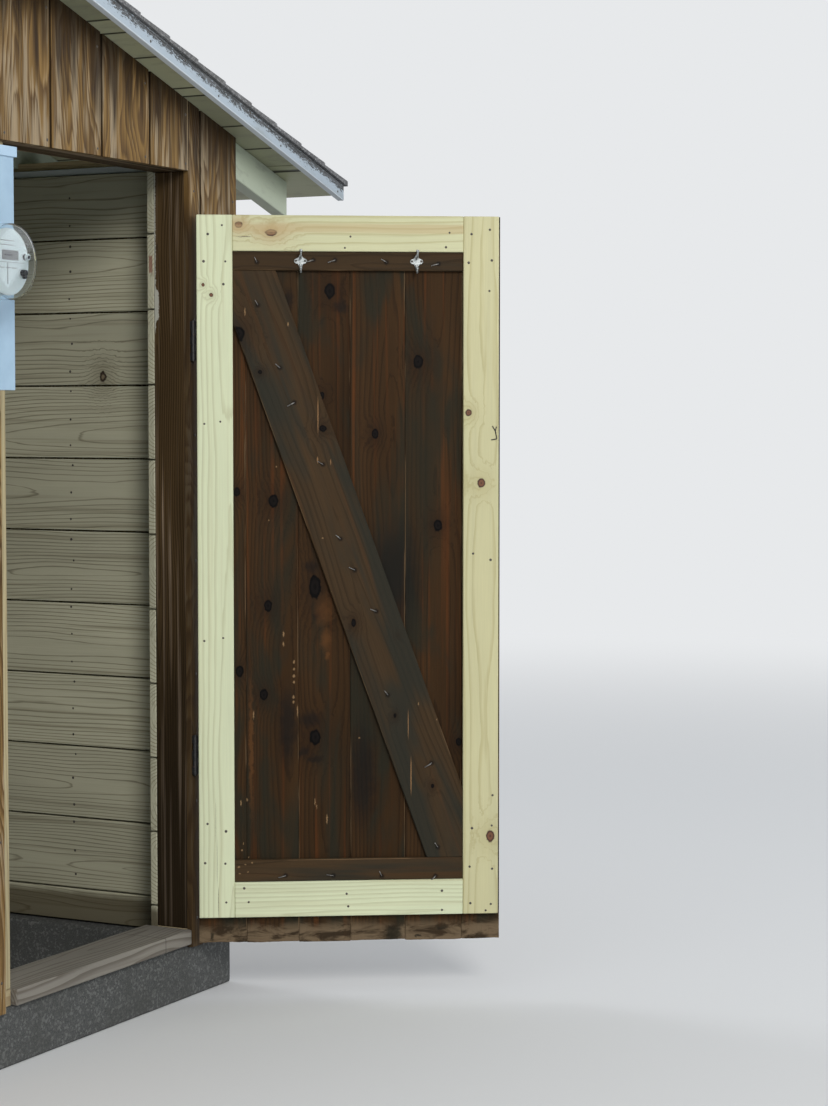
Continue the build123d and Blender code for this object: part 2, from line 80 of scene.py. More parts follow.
class Wiring:
    def __init__(self, tree):
        self.tree = tree

    def add(self, kind, plugs=None, **settings):
        node = self.tree.nodes.new(kind)
        for name, value in settings.items():
            setattr(node, name, value)
        for key, value in (plugs or {}).items():
            self.plug(node.inputs[key], value)
        return node

    def plug(self, socket, value):
        if isinstance(value, bpy.types.NodeSocket):
            self.tree.links.new(value, socket)
        else:
            socket.default_value = value

    def maths(self, operation, first, second=0.0, third=0.0, clamp=False):
        return self.add("ShaderNodeMath", {0: first, 1: second, 2: third},
                        operation=operation, use_clamp=clamp).outputs[0]

    def vector(self, operation, first, second=(0, 0, 0)):
        node = self.add("ShaderNodeVectorMath", {0: first, 1: second}, operation=operation)
        single = operation in ("DISTANCE", "LENGTH", "DOT_PRODUCT")
        return node.outputs["Value" if single else "Vector"]

    def noise(self, place, stretch=(1, 1, 1), scale=1.0, detail=2.0, rough=0.5, warp=0.0):
        place = self.vector("MULTIPLY", place, stretch)
        return self.add("ShaderNodeTexNoise", {"Vector": place, "Scale": scale, "Detail": detail,
                                               "Roughness": rough, "Distortion": warp})

    def between(self, value, low, high, toLow=0.0, toHigh=1.0):
        return self.add("ShaderNodeMapRange", {0: value, 1: low, 2: high, 3: toLow, 4: toHigh},
                        interpolation_type="SMOOTHSTEP").outputs[0]

    def ramp(self, value, *stops):
        node = self.add("ShaderNodeValToRGB", {0: value})
        band = node.color_ramp
        while len(band.elements) < len(stops):
            band.elements.new(0.5)
        for element, (position, colour) in zip(band.elements, stops):
            element.position = position
            element.color = (*colour, 1) if isinstance(colour, tuple) else (colour, colour, colour, 1)
        return node.outputs[0]

    def mix(self, factor, first, second, blend="MIX"):
        first, second = [(*v, 1) if isinstance(v, tuple) and len(v) == 3 else v for v in (first, second)]
        return self.add("ShaderNodeMix", {0: factor, 6: first, 7: second},
                        data_type="RGBA", blend_type=blend).outputs[2]

    def attribute(self, name):
        return self.add("ShaderNodeAttribute", attribute_name=name)

    def place(self):
        return self.add("ShaderNodeTexCoord").outputs["Object"]


def newGroup(name, inputs, outputs):
    tree = bpy.data.node_groups.new(name, "ShaderNodeTree")
    for label, kind, value in inputs:
        socket = tree.interface.new_socket(name=label, in_out="INPUT", socket_type="NodeSocket" + kind)
        if value is not None:
            socket.default_value = value
    for label, kind in outputs:
        tree.interface.new_socket(name=label, in_out="OUTPUT", socket_type="NodeSocket" + kind)
    w = Wiring(tree)
    return w, w.add("NodeGroupInput").outputs, w.add("NodeGroupOutput").inputs


def makeWoodGrain():
    # Rings of a trunk cut by the board, bent round its knots, with fibres and slow changes of tone
    w, given, out = newGroup(
        "woodGrain",
        [("Place", "Vector", None), ("Board", "Float", 0.5), ("Ring gap", "Float", 0.007), ("Late share", "Float", 0.5),
         ("Wander", "Float", 0.02), ("Knots", "Float", 0.5), ("Spot", "Float", 99.0)],
        [(n, "Float") for n in ("Ring", "Fibre", "Streak", "Knot", "Rim", "Halo", "Tone", "Height")])
    place, board = given["Place"], given["Board"]
    xyz = w.add("ShaderNodeSeparateXYZ", {0: place}).outputs
    slow = w.add("ShaderNodeSeparateColor", {0: w.noise(place, (1.3, 5, 5), detail=1.5).outputs["Color"]}).outputs
    swing = w.maths("MULTIPLY", given["Wander"], 4.0)
    centreY = w.maths("MULTIPLY_ADD", board, 0.09, -0.045)
    centreY = w.maths("MULTIPLY_ADD", w.maths("SUBTRACT", slow[0], 0.5), swing, centreY)
    depth = w.maths("MULTIPLY_ADD", w.maths("FRACT", w.maths("MULTIPLY", board, 7.31)), -0.05, -0.022)
    centreZ = w.maths("MULTIPLY_ADD", w.maths("SUBTRACT", slow[1], 0.5), swing, depth)
    dy = w.maths("SUBTRACT", xyz[1], centreY)
    dz = w.maths("SUBTRACT", xyz[2], centreZ)
    radius = w.maths("SQRT", w.maths("MULTIPLY_ADD", dy, dy, w.maths("MULTIPLY", dz, dz)))
    flat = w.add("ShaderNodeCombineXYZ", {0: w.maths("MULTIPLY", xyz[0], 0.72), 1: xyz[1],
                                          2: w.maths("MULTIPLY", board, 31.0)}).outputs[0]
    cell = w.add("ShaderNodeTexVoronoi", {"Vector": flat, "Scale": 4.2}, feature="F1")
    chance = w.add("ShaderNodeSeparateColor", {0: cell.outputs["Color"]}).outputs[0]
    size = w.maths("MULTIPLY", w.maths("SUBTRACT", chance, 0.5), w.maths("MULTIPLY", given["Knots"], 0.022))
    size = w.maths("MAXIMUM", size, 0.0002)
    away = w.maths("DIVIDE", w.maths("DIVIDE", cell.outputs["Distance"], 4.2), size)
    away = w.maths("MINIMUM", away, given["Spot"])
    uneven = w.noise(place, (70, 90, 90), detail=2).outputs[0]
    away = w.maths("MULTIPLY", away, w.maths("MULTIPLY_ADD", uneven, 0.7, 0.65))
    knot = w.between(away, 1.12, 0.86)
    rim = w.between(w.maths("ABSOLUTE", w.maths("SUBTRACT", away, 0.86)), 0.34, 0.06)
    heart = w.between(away, 0.32, 0.12)
    rim = w.maths("MAXIMUM", rim, w.maths("MULTIPLY", heart, 0.7))
    halo = w.maths("POWER", 2.718, w.maths("MULTIPLY", w.maths("MULTIPLY", away, away), -0.11))
    fine = w.noise(place, (5, 60, 60), detail=2).outputs[0]
    phase = w.maths("DIVIDE", radius, given["Ring gap"])
    phase = w.maths("MULTIPLY_ADD", halo, 2.6, phase)
    phase = w.maths("MULTIPLY_ADD", fine, 0.5, phase)
    # the dark part of a ring stays narrow on the board where the saw cut the rings almost flat
    steep = w.maths("POWER", w.maths("MAXIMUM", w.maths("DIVIDE", w.maths("ABSOLUTE", dy), radius), 0.12), 0.7)
    left = w.maths("SUBTRACT", 1.0, w.maths("FRACT", phase))
    ring = w.between(w.maths("DIVIDE", left, w.maths("MULTIPLY", steep, given["Late share"])), 1.0, 0.15)
    ring = w.maths("MULTIPLY", ring, w.between(left, 0.0, 0.04))
    fibre = w.noise(place, (9, 330, 330), detail=3, rough=0.6).outputs[0]
    streak = w.noise(place, (1.1, 70, 70), detail=2.5, rough=0.6).outputs[0]
    tone = w.noise(place, (1.7, 11, 11), detail=2).outputs[0]
    height = w.maths("MULTIPLY_ADD", fibre, 0.5, w.maths("MULTIPLY", ring, 0.5))
    for name, value in (("Ring", ring), ("Fibre", fibre), ("Streak", streak), ("Knot", knot), ("Rim", rim),
                        ("Halo", halo), ("Tone", tone), ("Height", height)):
        w.plug(out[name], value)
    return w.tree


def makeVeneer():
    # Rotary-cut plywood face: swirling bands that run up the sheet, with flames of bleached wood
    w, given, out = newGroup(
        "veneerGrain", [("Place", "Vector", None), ("Board", "Float", 0.5), ("Bands", "Float", 13.0)],
        [(n, "Float") for n in ("Band", "Line", "Fibre", "Pale", "Dark", "Height")])
    place = given["Place"]
    slow = w.noise(place, (1.5, 7.5, 7.5), detail=1.8, rough=0.45, warp=0.3).outputs[0]
    ragged = w.noise(place, (7, 110, 110), detail=2).outputs[0]
    phase = w.maths("MULTIPLY_ADD", slow, given["Bands"], w.maths("MULTIPLY", ragged, 0.5))
    band = w.ramp(w.maths("FRACT", phase), (0.0, 0.0), (0.3, 0.3), (0.8, 1.0), (0.98, 0.0))
    line = w.noise(place, (2.2, 120, 120), detail=3.5, rough=0.7, warp=0.25).outputs[0]
    fibre = w.noise(place, (10, 300, 300), detail=3, rough=0.6).outputs[0]
    pale = w.noise(w.vector("ADD", place, (3, 0, 5)), (2.9, 46, 46), detail=3.5, rough=0.62, warp=0.4).outputs[0]
    cloudy = w.noise(w.vector("ADD", place, (1, 4, 2)), (2.2, 7, 7), detail=2).outputs[0]
    pale = w.maths("MULTIPLY_ADD", w.maths("SUBTRACT", cloudy, 0.5), 0.38, pale)
    dark = w.noise(w.vector("ADD", place, (7, 3, 1)), (1.5, 9, 9), detail=3, rough=0.6).outputs[0]
    for name, value in (("Band", band), ("Line", line), ("Fibre", fibre), ("Pale", pale), ("Dark", dark),
                        ("Height", w.maths("MULTIPLY_ADD", band, 0.6, w.maths("MULTIPLY", fibre, 0.4)))):
        w.plug(out[name], value)
    return w.tree


def makePeeling():
    # Old paint that has come away in flakes along the grain
    w, given, out = newGroup(
        "peelingPaint", [("Place", "Vector", None), ("Left", "Float", 0.5)],
        [("Paint", "Float"), ("Edge", "Float"), ("Grime", "Float")])
    big = w.noise(given["Place"], (5, 26, 26), detail=3, rough=0.6, warp=0.3).outputs[0]
    small = w.noise(given["Place"], (95, 260, 260), detail=4, rough=0.75).outputs[0]
    level = w.maths("ADD", w.maths("MULTIPLY", big, 0.42), w.maths("MULTIPLY", small, 1.4))
    line = w.maths("MULTIPLY_ADD", given["Left"], 0.8, 0.51)
    gap = w.maths("SUBTRACT", line, level)
    w.plug(out["Paint"], w.between(gap, -0.012, 0.012))
    w.plug(out["Edge"], w.between(w.maths("ABSOLUTE", gap), 0.022, 0.0))
    w.plug(out["Grime"], w.noise(given["Place"], (9, 26, 26), detail=4, rough=0.65).outputs[0])
    return w.tree


woodGrain, veneerGrain, peelingPaint = makeWoodGrain(), makeVeneer(), makePeeling()


def useGroup(w, group, **plugs):
    node = w.add("ShaderNodeGroup", node_tree=group)
    for name, value in plugs.items():
        w.plug(node.inputs[name.replace("_", " ")], value)
    return node.outputs


def newMaterial(name):
    made = bpy.data.materials.new(name)
    made.use_nodes = True
    return made, Wiring(made.node_tree), made.node_tree.nodes["Principled BSDF"]


def bump(w, shader, height, strength, distance):
    normal = w.add("ShaderNodeBump", {"Height": height, "Strength": strength, "Distance": distance}).outputs[0]
    w.plug(shader.inputs["Normal"], normal)


def doorPlace(w):
    # metres across the door and up it
    place = w.place()
    u = w.maths("SUBTRACT", w.vector("DOT_PRODUCT", place, tuple(across)), pivot.dot(across))
    return w.add("ShaderNodeCombineXYZ", {0: u, 1: w.add("ShaderNodeSeparateXYZ", {0: place}).outputs[2]}).outputs[0]


def doorInside(w):
    # the same, with a third number that is 0 on the inner face and large on the outer one
    t = w.maths("SUBTRACT", w.vector("DOT_PRODUCT", w.place(), tuple(inward)), pivot.dot(inward))
    behind = w.maths("MULTIPLY", w.maths("MINIMUM", w.maths("ADD", t, 0.004), 0.0), 20.0)
    return w.vector("ADD", doorPlace(w), w.add("ShaderNodeCombineXYZ", {2: behind}).outputs[0])


def rightWallPlace(w):
    xyz = w.add("ShaderNodeSeparateXYZ", {0: w.place()}).outputs
    return w.add("ShaderNodeCombineXYZ", {0: xyz[1], 1: xyz[2], 2: w.maths("SUBTRACT", xyz[0], 0.443)}).outputs[0]


def nearestMark(w, flat, marks, ragged=0.0, scale=200.0):
    # distance to the nearest mark (across, up, half width, half height, in mm), where 1 is its rim
    if ragged and marks:
        wobble = w.vector("SUBTRACT", w.noise(flat, scale=scale, detail=3, rough=0.6).outputs["Color"], (0.5, 0.5, 0.5))
        flat = w.vector("ADD", flat, w.vector("MULTIPLY", wobble, (ragged, ragged, 0)))
    nearest = 99.0
    for u, z, wide, high in marks:
        away = w.vector("SUBTRACT", flat, (u / 1000, z / 1000, 0))
        away = w.vector("LENGTH", w.vector("MULTIPLY", away, (1000 / wide, 1000 / high, 30)))
        nearest = away if nearest == 99.0 else w.maths("MINIMUM", nearest, away)
    return nearest


def grainAcross(w, grain):
    # metres across the board from its middle, and metres left to its edge
    y = w.add("ShaderNodeSeparateXYZ", {0: grain}).outputs[1]
    return y, w.maths("SUBTRACT", w.attribute("halfWidth").outputs["Fac"], w.maths("ABSOLUTE", y))


def woodMaterial(name, looks):
    made, w, shader = newMaterial(name)
    grain, board = w.attribute("grain"), w.attribute("board")
    spots = looks.get("spots", ())
    got = useGroup(w, woodGrain, Place=grain.outputs["Vector"], Board=board.outputs["Fac"],
                   Ring_gap=looks["ringGap"], Late_share=looks["lateShare"], Wander=looks["wander"], Knots=looks["knots"],
                   Spot=nearestMark(w, looks.get("spotPlane", doorPlace)(w), spots) if spots else 99.0)
    colour = w.mix(w.maths("MULTIPLY", got["Ring"], looks["ringDepth"]), looks["pale"], looks["late"])
    streak = w.between(got["Streak"], looks.get("streakFrom", 0.52), 0.72)
    colour = w.mix(w.maths("MULTIPLY", streak, looks["streakDepth"]), colour, looks["streakColour"])
    tone = w.maths("MULTIPLY_ADD", got["Tone"], looks["toneSpread"], 1 - looks["toneSpread"] * 0.5)
    own = w.maths("FRACT", w.maths("MULTIPLY", board.outputs["Fac"], 13.7))
    tone = w.maths("MULTIPLY", tone, w.maths("MULTIPLY_ADD", own, looks["boardSpread"], 1 - looks["boardSpread"] / 2))
    tone = w.maths("MULTIPLY", tone, w.maths("MULTIPLY_ADD", got["Fibre"], looks["fibre"], 1 - looks["fibre"] / 2))
    grey = w.add("ShaderNodeCombineColor", {0: tone, 1: tone, 2: tone}).outputs[0]
    colour = w.mix(1.0, colour, grey, "MULTIPLY")
    for layer in looks.get("under", ()):
        colour = layer(w, colour, grain.outputs["Vector"])
    colour = w.mix(w.maths("MULTIPLY", got["Halo"], looks.get("halo", 0.45)), colour, looks.get("haloColour", looks["late"]))
    colour = w.mix(got["Knot"], colour, w.mix(got["Rim"], looks["knotHeart"], looks["knotColour"]))
    for layer in looks.get("layers", ()):
        colour = layer(w, colour, grain.outputs["Vector"])
    w.plug(shader.inputs["Base Color"], colour)
    w.plug(shader.inputs["Roughness"], w.maths("MULTIPLY_ADD", got["Fibre"], 0.24, looks["rough"] - 0.12))
    shader.inputs["Specular IOR Level"].default_value = looks.get("gloss", 0.35)
    bump(w, shader, got["Height"], looks["bump"], 0.0012)
    return made


def island(mesh):
    left = set(mesh.verts)
    while left:
        stack, found = [left.pop()], []
        while stack:
            vert = stack.pop()
            found.append(vert)
            for edge in vert.link_edges:
                other = edge.other_vert(vert)
                if other in left:
                    left.remove(other)
                    stack.append(other)
        yield found


def markBoards(mesh, along, seed):
    # gives every board its own grain coordinates, in metres, and its own number
    grainLayer = mesh.verts.layers.float_vector.new("grain")
    boardLayer = mesh.verts.layers.float.new("board")
    halfLayer = mesh.verts.layers.float.new("halfWidth")
    dice = random.Random(seed)
    for found in sorted(island(mesh), key=lambda verts: min(tuple(round(c, 4) for c in v.co) for v in verts)):
        kind = along
        spans = [max(v.co[i] for v in found) - min(v.co[i] for v in found) for i in range(3)]
        if kind == "long" or (kind == "slope" and spans[0] < spans[1]):
            kind = ("x", "y", "up")[spans.index(max(spans))]
        elif kind == "slope":
            kind = "fall" if sum(v.co.x for v in found) / len(found) > -0.3265 else "rise"
        run, wide, thick = grainFrames[kind]
        reach = []
        for axis in (wide, thick):
            values = [v.co.dot(axis) for v in found]
            reach.append((max(values) - min(values), (max(values) + min(values)) / 2))
        if reach[1][0] > reach[0][0]:
            wide, thick, reach = thick, wide, reach[::-1]
        number = dice.random()
        for v in found:
            v[grainLayer] = Vector((v.co.dot(run) + number * 40, v.co.dot(wide) - reach[0][1],
                                    v.co.dot(thick) - reach[1][1]))
            v[boardLayer] = number
            v[halfLayer] = reach[0][0] / 2


def finishPiece(name, mesh, material, body, slot, edge=0.0, segments=2, stands=(), smooth=35):
    data = bpy.data.meshes.new(name)
    mesh.to_mesh(data)
    mesh.free()
    data.materials.append(material)
    data.shade_smooth()
    data.set_sharp_from_angle(angle=math.radians(smooth))
    piece = bpy.data.objects.new(name, data)
    scene.collection.objects.link(piece)
    if edge:
        soften = piece.modifiers.new("soften", "BEVEL")
        soften.width, soften.segments = edge, segments
        soften.limit_method, soften.angle_limit = "ANGLE", math.radians(32)
        piece.modifiers.new("join", "WELD").merge_threshold = 0.0000004
    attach(piece, body)
    if stands:
        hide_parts(*stands)
    return piece


def dress(node, material, along, slot, edge=0.0015, body="building", segments=2):
    mesh = bmesh.new()
    mesh.from_mesh(nodes[node].data)
    bmesh.ops.remove_doubles(mesh, verts=mesh.verts, dist=0.00002)
    bmesh.ops.dissolve_limit(mesh, angle_limit=math.radians(0.6), verts=mesh.verts, edges=mesh.edges)
    markBoards(mesh, along, node)
    words = node.split("_")
    name = words[0] + "".join(word.capitalize() for word in words[1:])
    return finishPiece(name, mesh, material, body, slot, edge, segments, (node,))


# Layers of age that go over the wood colour

def heightMask(w, low, high, ragged=0.05, stretch=(6, 6, 2)):
    place = w.place()
    z = w.add("ShaderNodeSeparateXYZ", {0: place}).outputs[2]
    wobble = w.noise(place, stretch, scale=2.0, detail=3, rough=0.6).outputs[0]
    z = w.maths("MULTIPLY_ADD", w.maths("SUBTRACT", wobble, 0.5), ragged * 2, z)
    return w.between(z, high, low)


def wornBottom(w, colour, grain):
    # rain has worn the stain off the lowest few centimetres of the boards, in patches
    mottle = w.noise(grain, (34, 11, 11), detail=4, rough=0.68, warp=0.6).outputs[0]
    raw = w.mix(w.between(mottle, 0.38, 0.58), (0.042, 0.028, 0.016), (0.17, 0.122, 0.075))
    damp = nearestMark(w, doorInside(w), [(497, 160, 20, 26), (620, 174, 14, 9), (40, 156, 5, 9), (560, 152, 9, 3)], 0.02, 60.0)
    raw = w.mix(w.between(damp, 1.4, 0.6, 0.0, 0.85), raw, (0.017, 0.016, 0.011))
    return w.mix(w.maths("MULTIPLY", heightMask(w, 0.166, 0.2, 0.014), 0.92), colour, raw)


paintFleckMarks = [
    (221.7, 919, 2.0, 7), (221.7, 894, 2.0, 6), (247.8, 849, 2.6, 4), (247.8, 831, 2.6, 3.5), (247.7, 813, 2.8, 4.5),
    (247.7, 798, 2.4, 3.5), (246.3, 760.6, 2.6, 4.5), (246.3, 748, 2.8, 3.5), (256.3, 725, 1.6, 14), (329.8, 451, 1.8, 12),
    (299.7, 495, 1.4, 9), (304, 482, 1.0, 6), (146.5, 716, 1.5, 11), (129, 502, 2.0, 4), (113.9, 494.6, 1.8, 7),
    (116, 375, 2.0, 2.5), (141, 345, 2.5, 2.0), (108, 335, 3.5, 2.0), (124, 341, 2.2, 1.6), (120, 392, 1.2, 3),
    (133, 357, 1.2, 2.4), (110, 318, 3.0, 1.4), (131, 322, 2.0, 1.6), (234.7, 1692, 1.6, 5), (128, 1722, 1.4, 10),
    (560, 742, 1.2, 4), (205, 1338, 1.4, 2), (186, 1205, 1.2, 2), (320, 1160, 2.4, 1.3), (606, 702, 1.4, 2), (412, 655, 2.0, 1.4),
]


def paintFlecks(w, colour, grain):
    # the few scratches and flecks where the stain is off
    away = nearestMark(w, doorInside(w), paintFleckMarks, 0.006, 260.0)
    return w.mix(w.between(away, 1.35, 0.5, 0.0, 0.75), colour, (0.32, 0.2, 0.1))


def goldenWear(w, colour, grain):
    away = nearestMark(w, doorInside(w), [(327, 905, 12, 26), (332, 866, 6, 9), (322, 980, 20, 34), (140, 640, 5, 160)], 0.02, 60.0)
    return w.mix(w.between(away, 1.6, 0.2, 0.0, 0.6), colour, (0.13, 0.055, 0.018))


def darkSmudges(w, colour, grain):
    marks = [(235, 1752, 12, 24), (366, 1737, 16, 16), (310, 966, 12, 12), (272, 623, 14, 9), (296, 605, 22, 9),
             (289, 703, 26, 18), (293, 1088, 16, 14), (232, 690, 22, 90), (500, 1060, 60, 130), (420, 560, 30, 120)]
    away = nearestMark(w, doorInside(w), marks, 0.03, 45.0)
    return w.mix(w.between(away, 1.6, 0.3, 0.0, 0.75), colour, (0.009, 0.0085, 0.008))


def wornArris(w, colour, grain):
    # the stain has rubbed off the sharp edges of the boards here and there
    y, edge = grainAcross(w, grain)
    line = w.between(w.maths("ABSOLUTE", w.maths("SUBTRACT", edge, 0.0011)), 0.0014, 0.0004)
    patchy = w.between(w.noise(grain, (3.5, 20, 20), detail=3, rough=0.6).outputs[0], 0.5, 0.62)
    return w.mix(w.maths("MULTIPLY", w.maths("MULTIPLY", line, patchy), 0.75), colour, (0.2, 0.13, 0.07))


def braceCrack(w, colour, grain):
    marks = [(308.6, 1465, 1.3, 44), (307.2, 1355, 1.6, 8), (534, 690, 1.0, 34), (541, 560, 1.4, 44), (340, 1350, 1.0, 7)]
    away = nearestMark(w, doorPlace(w), marks, 0.0025)
    return w.mix(w.between(away, 1.3, 0.7, 0.0, 0.8), colour, (0.3, 0.17, 0.08))


def paintedNailShade(w, colour, grain):
    # painted shade: a dark ring round each clinched nail on the brace
    away = nearestMark(w, doorPlace(w), [(u, z, 5.5, 5.5) for u, z in clinchedNails["places"]], 0.004)
    return w.mix(w.between(away, 1.7, 0.5, 0.0, 0.7), colour, (0.005, 0.005, 0.0055))


def bluish(w, colour, grain):
    # the stain has gone grey-green where the sun and rain reach the boards
    cloud = w.noise(grain, (2.0, 9, 9), detail=3, rough=0.62, warp=0.5).outputs[0]
    return w.mix(w.between(cloud, 0.44, 0.62, 0.0, 0.85), colour, (0.021, 0.0205, 0.0135))


def braceBlue(w, colour, grain):
    cloud = w.noise(grain, (1.6, 8, 8), detail=3, rough=0.62, warp=0.5).outputs[0]
    return w.mix(w.between(cloud, 0.44, 0.62, 0.0, 0.8), colour, (0.0245, 0.0265, 0.021))


def dampFoot(w, colour, grain):
    return w.mix(w.maths("MULTIPLY", heightMask(w, 0.205, 0.228, 0.006), 0.78), colour, (0.05, 0.034, 0.012))


def redTag(w, colour, grain):
    # a smear of red on one end of the lining, beside the doorway
    xyz = w.add("ShaderNodeSeparateXYZ", {0: w.place()}).outputs
    off = [w.between(w.maths("ABSOLUTE", w.maths("SUBTRACT", xyz[i], middle)), half * 1.15, half * 0.85)
           for i, middle, half in ((0, 0.361, 0.004), (1, 0.0535, 0.0052), (2, 1.843, 0.021))]
    mask = w.maths("MULTIPLY", off[0], w.maths("MULTIPLY", off[1], off[2]))
    return w.mix(w.maths("MULTIPLY", mask, 0.7), colour, (0.2, 0.05, 0.028))


def smokyTop(w, colour, grain):
    # dark runs of old stain and water under the eaves and the roof edge
    runs = w.noise(grain, (1.7, 34, 34), detail=3, rough=0.65).outputs[0]
    xyz = w.add("ShaderNodeSeparateXYZ", {0: w.place()}).outputs
    line = w.maths("MULTIPLY", w.maths("ABSOLUTE", w.maths("ADD", xyz[0], 0.3265)), 0.3043)
    below = w.maths("SUBTRACT", 2.4517, w.maths("ADD", line, xyz[2]))
    mask = w.between(w.maths("MULTIPLY_ADD", w.maths("SUBTRACT", runs, 0.5), -0.62, below), 0.2, 0.02)
    return w.mix(w.maths("MULTIPLY", mask, 0.86), colour, (0.02, 0.0105, 0.0045))


def grooveShade(w, colour, grain):
    # painted shade: the grooves and cut edges of the sheets are coloured dark, found by how far the surface lies behind
    # the wall's face
    xyz = w.add("ShaderNodeSeparateXYZ", {0: w.place()}).outputs
    ends = w.maths("MINIMUM", w.maths("ADD", xyz[1], 0.0605), w.maths("SUBTRACT", 1.7685, xyz[1]))
    sides = w.maths("MINIMUM", w.maths("SUBTRACT", 0.588, xyz[0]), w.maths("ADD", xyz[0], 1.241))
    deep = w.maths("MINIMUM", ends, sides)
    mask = w.maths("MULTIPLY", w.between(deep, 0.0008, 0.003), w.between(deep, 0.0078, 0.0064))
    for jamb in (0.364, -0.373):
        clear = w.between(w.maths("ABSOLUTE", w.maths("SUBTRACT", xyz[0], jamb)), 0.0012, 0.003)
        mask = w.maths("MULTIPLY", mask, w.maths("MAXIMUM", clear, w.between(xyz[2], 2.07, 2.074)))
    return w.mix(w.maths("MULTIPLY", mask, 0.85), colour, (0.013, 0.0075, 0.004))


def paleEdge(w, colour, grain):
    # the sheet over the doorway shows a line of bare wood along its right edge
    xyz = w.add("ShaderNodeSeparateXYZ", {0: w.place()}).outputs
    line = w.between(w.maths("ABSOLUTE", w.maths("SUBTRACT", xyz[0], 0.3595)), 0.0032, 0.0016)
    front = w.maths("MULTIPLY", w.between(xyz[1], 0.0, -0.03), w.between(xyz[2], 2.064, 2.072))
    return w.mix(w.maths("MULTIPLY", w.maths("MULTIPLY", line, front), 0.6), colour, (0.4, 0.3, 0.18))


def oldStain(w, colour, grain):
    # the strip beside the doorway keeps its dark stain up to the header
    xyz = w.add("ShaderNodeSeparateXYZ", {0: w.place()}).outputs
    beside = w.between(w.maths("ABSOLUTE", w.maths("SUBTRACT", xyz[0], 0.385)), 0.045, 0.028)
    front = w.between(xyz[1], 0.0, -0.03)
    mask = w.maths("MULTIPLY", w.maths("MULTIPLY", beside, front), heightMask(w, 1.9, 2.0, 0.05))
    return w.mix(w.maths("MULTIPLY", mask, 0.8), colour, (0.032, 0.02, 0.011))


def rustRuns(w, colour, grain):
    cloud = w.noise(w.place(), (30, 30, 3), detail=3, rough=0.6).outputs[0]
    return w.mix(w.between(cloud, 0.62, 0.78, 0.0, 0.25), colour, (0.16, 0.1, 0.06))


def dirtyFoot(w, colour, grain):
    return w.mix(w.maths("MULTIPLY", heightMask(w, 0.25, 1.3, 0.2), 0.75), colour, (0.011, 0.0085, 0.0055))


def strayPaint(w, colour, grain):
    # a line of white paint down the inner edge of the doorway, with one flaky patch
    xyz = w.add("ShaderNodeSeparateXYZ", {0: w.place()}).outputs
    rough = w.noise(w.place(), scale=260, detail=3, rough=0.7).outputs[0]
    patch = w.between(w.maths("ABSOLUTE", w.maths("SUBTRACT", xyz[2], 1.74)), 0.045, 0.03)
    start = w.maths("MULTIPLY_ADD", patch, -0.009, 0.0385)
    start = w.maths("MULTIPLY_ADD", w.maths("SUBTRACT", rough, 0.5), 0.012, start)
    inside = w.maths("MULTIPLY", w.between(w.maths("SUBTRACT", xyz[1], start), 0.0, 0.0012), w.between(xyz[0], 0.37, 0.366))
    line = w.maths("MULTIPLY", inside, w.between(xyz[2], 1.665, 1.69))
    return w.mix(w.maths("MULTIPLY", line, 0.85), colour, (0.5, 0.5, 0.44))


def stileCrack(w, colour, grain):
    away = nearestMark(w, doorPlace(w), [(56.7, 247, 0.9, 42), (53.5, 350, 0.6, 64), (50.6, 450, 0.5, 60)], 0.002)
    return w.mix(w.between(away, 1.2, 0.6, 0.0, 0.75), colour, (0.1, 0.07, 0.035))


def railStreak(w, colour, grain):
    # the brown heartwood streak along the upper half of the top rail
    flat = doorPlace(w)
    z = w.add("ShaderNodeSeparateXYZ", {0: flat}).outputs[1]
    wave = w.noise(grain, (4, 60, 60), detail=3, rough=0.6).outputs[0]
    level = w.maths("MULTIPLY_ADD", w.maths("SUBTRACT", wave, 0.5), 0.03, z)
    band = w.between(w.maths("ABSOLUTE", w.maths("SUBTRACT", level, 1.929)), 0.017, 0.006)
    colour = w.mix(w.maths("MULTIPLY", band, 0.5), colour, (0.5, 0.36, 0.18))
    away = nearestMark(w, flat, [(126, 1907, 20, 1.3)], 0.004)
    return w.mix(w.between(away, 1.2, 0.6, 0.0, 0.7), colour, (0.07, 0.04, 0.03))


def buttLine(w, colour, grain):
    # where the two lengths of the sill meet
    xyz = w.add("ShaderNodeSeparateXYZ", {0: w.place()}).outputs
    away = w.maths("ABSOLUTE", w.maths("SUBTRACT", xyz[0], 0.2412))
    return w.mix(w.between(away, 0.0014, 0.0006, 0.0, 0.9), colour, (0.02, 0.016, 0.012))


clinchedNails = {
    "places": [(345, 310), (467, 307), (603, 305), (225, 312), (609, 378), (160, 1739), (214, 1584), (250, 1498),
               (321, 1344), (364, 1158), (400, 1080), (454, 976), (483, 765), (593, 592), (158, 1845), (298, 1851),
               (352, 1851), (480, 1846), (610, 1843)],
    "length": 0.017, "radius": 0.0013,
}
palePine = {
    "pale": (0.68, 0.7, 0.48), "late": (0.47, 0.47, 0.29), "ringGap": 0.0095, "lateShare": 0.75, "wander": 0.009,
    "ringDepth": 0.5, "streakColour": (0.52, 0.5, 0.31), "streakDepth": 0.4, "fibre": 0.16,
    "toneSpread": 0.2, "boardSpread": 0.0, "knots": 0.0, "knotColour": (0.05, 0.018, 0.011),
    "knotHeart": (0.17, 0.07, 0.035), "rough": 0.62, "bump": 0.25,
}
greenPine = dict(palePine, pale=(0.675, 0.725, 0.5), spots=[(45.2, 1762.9, 5, 5.5), (24.9, 1788.1, 4, 4.5)], layers=(stileCrack,))
yellowPine = dict(palePine, pale=(0.59, 0.565, 0.335), late=(0.41, 0.36, 0.17), spots=[
    (685.4, 1472.8, 8, 9), (717.3, 1296.9, 10, 12), (741.3, 405.3, 11, 15)])
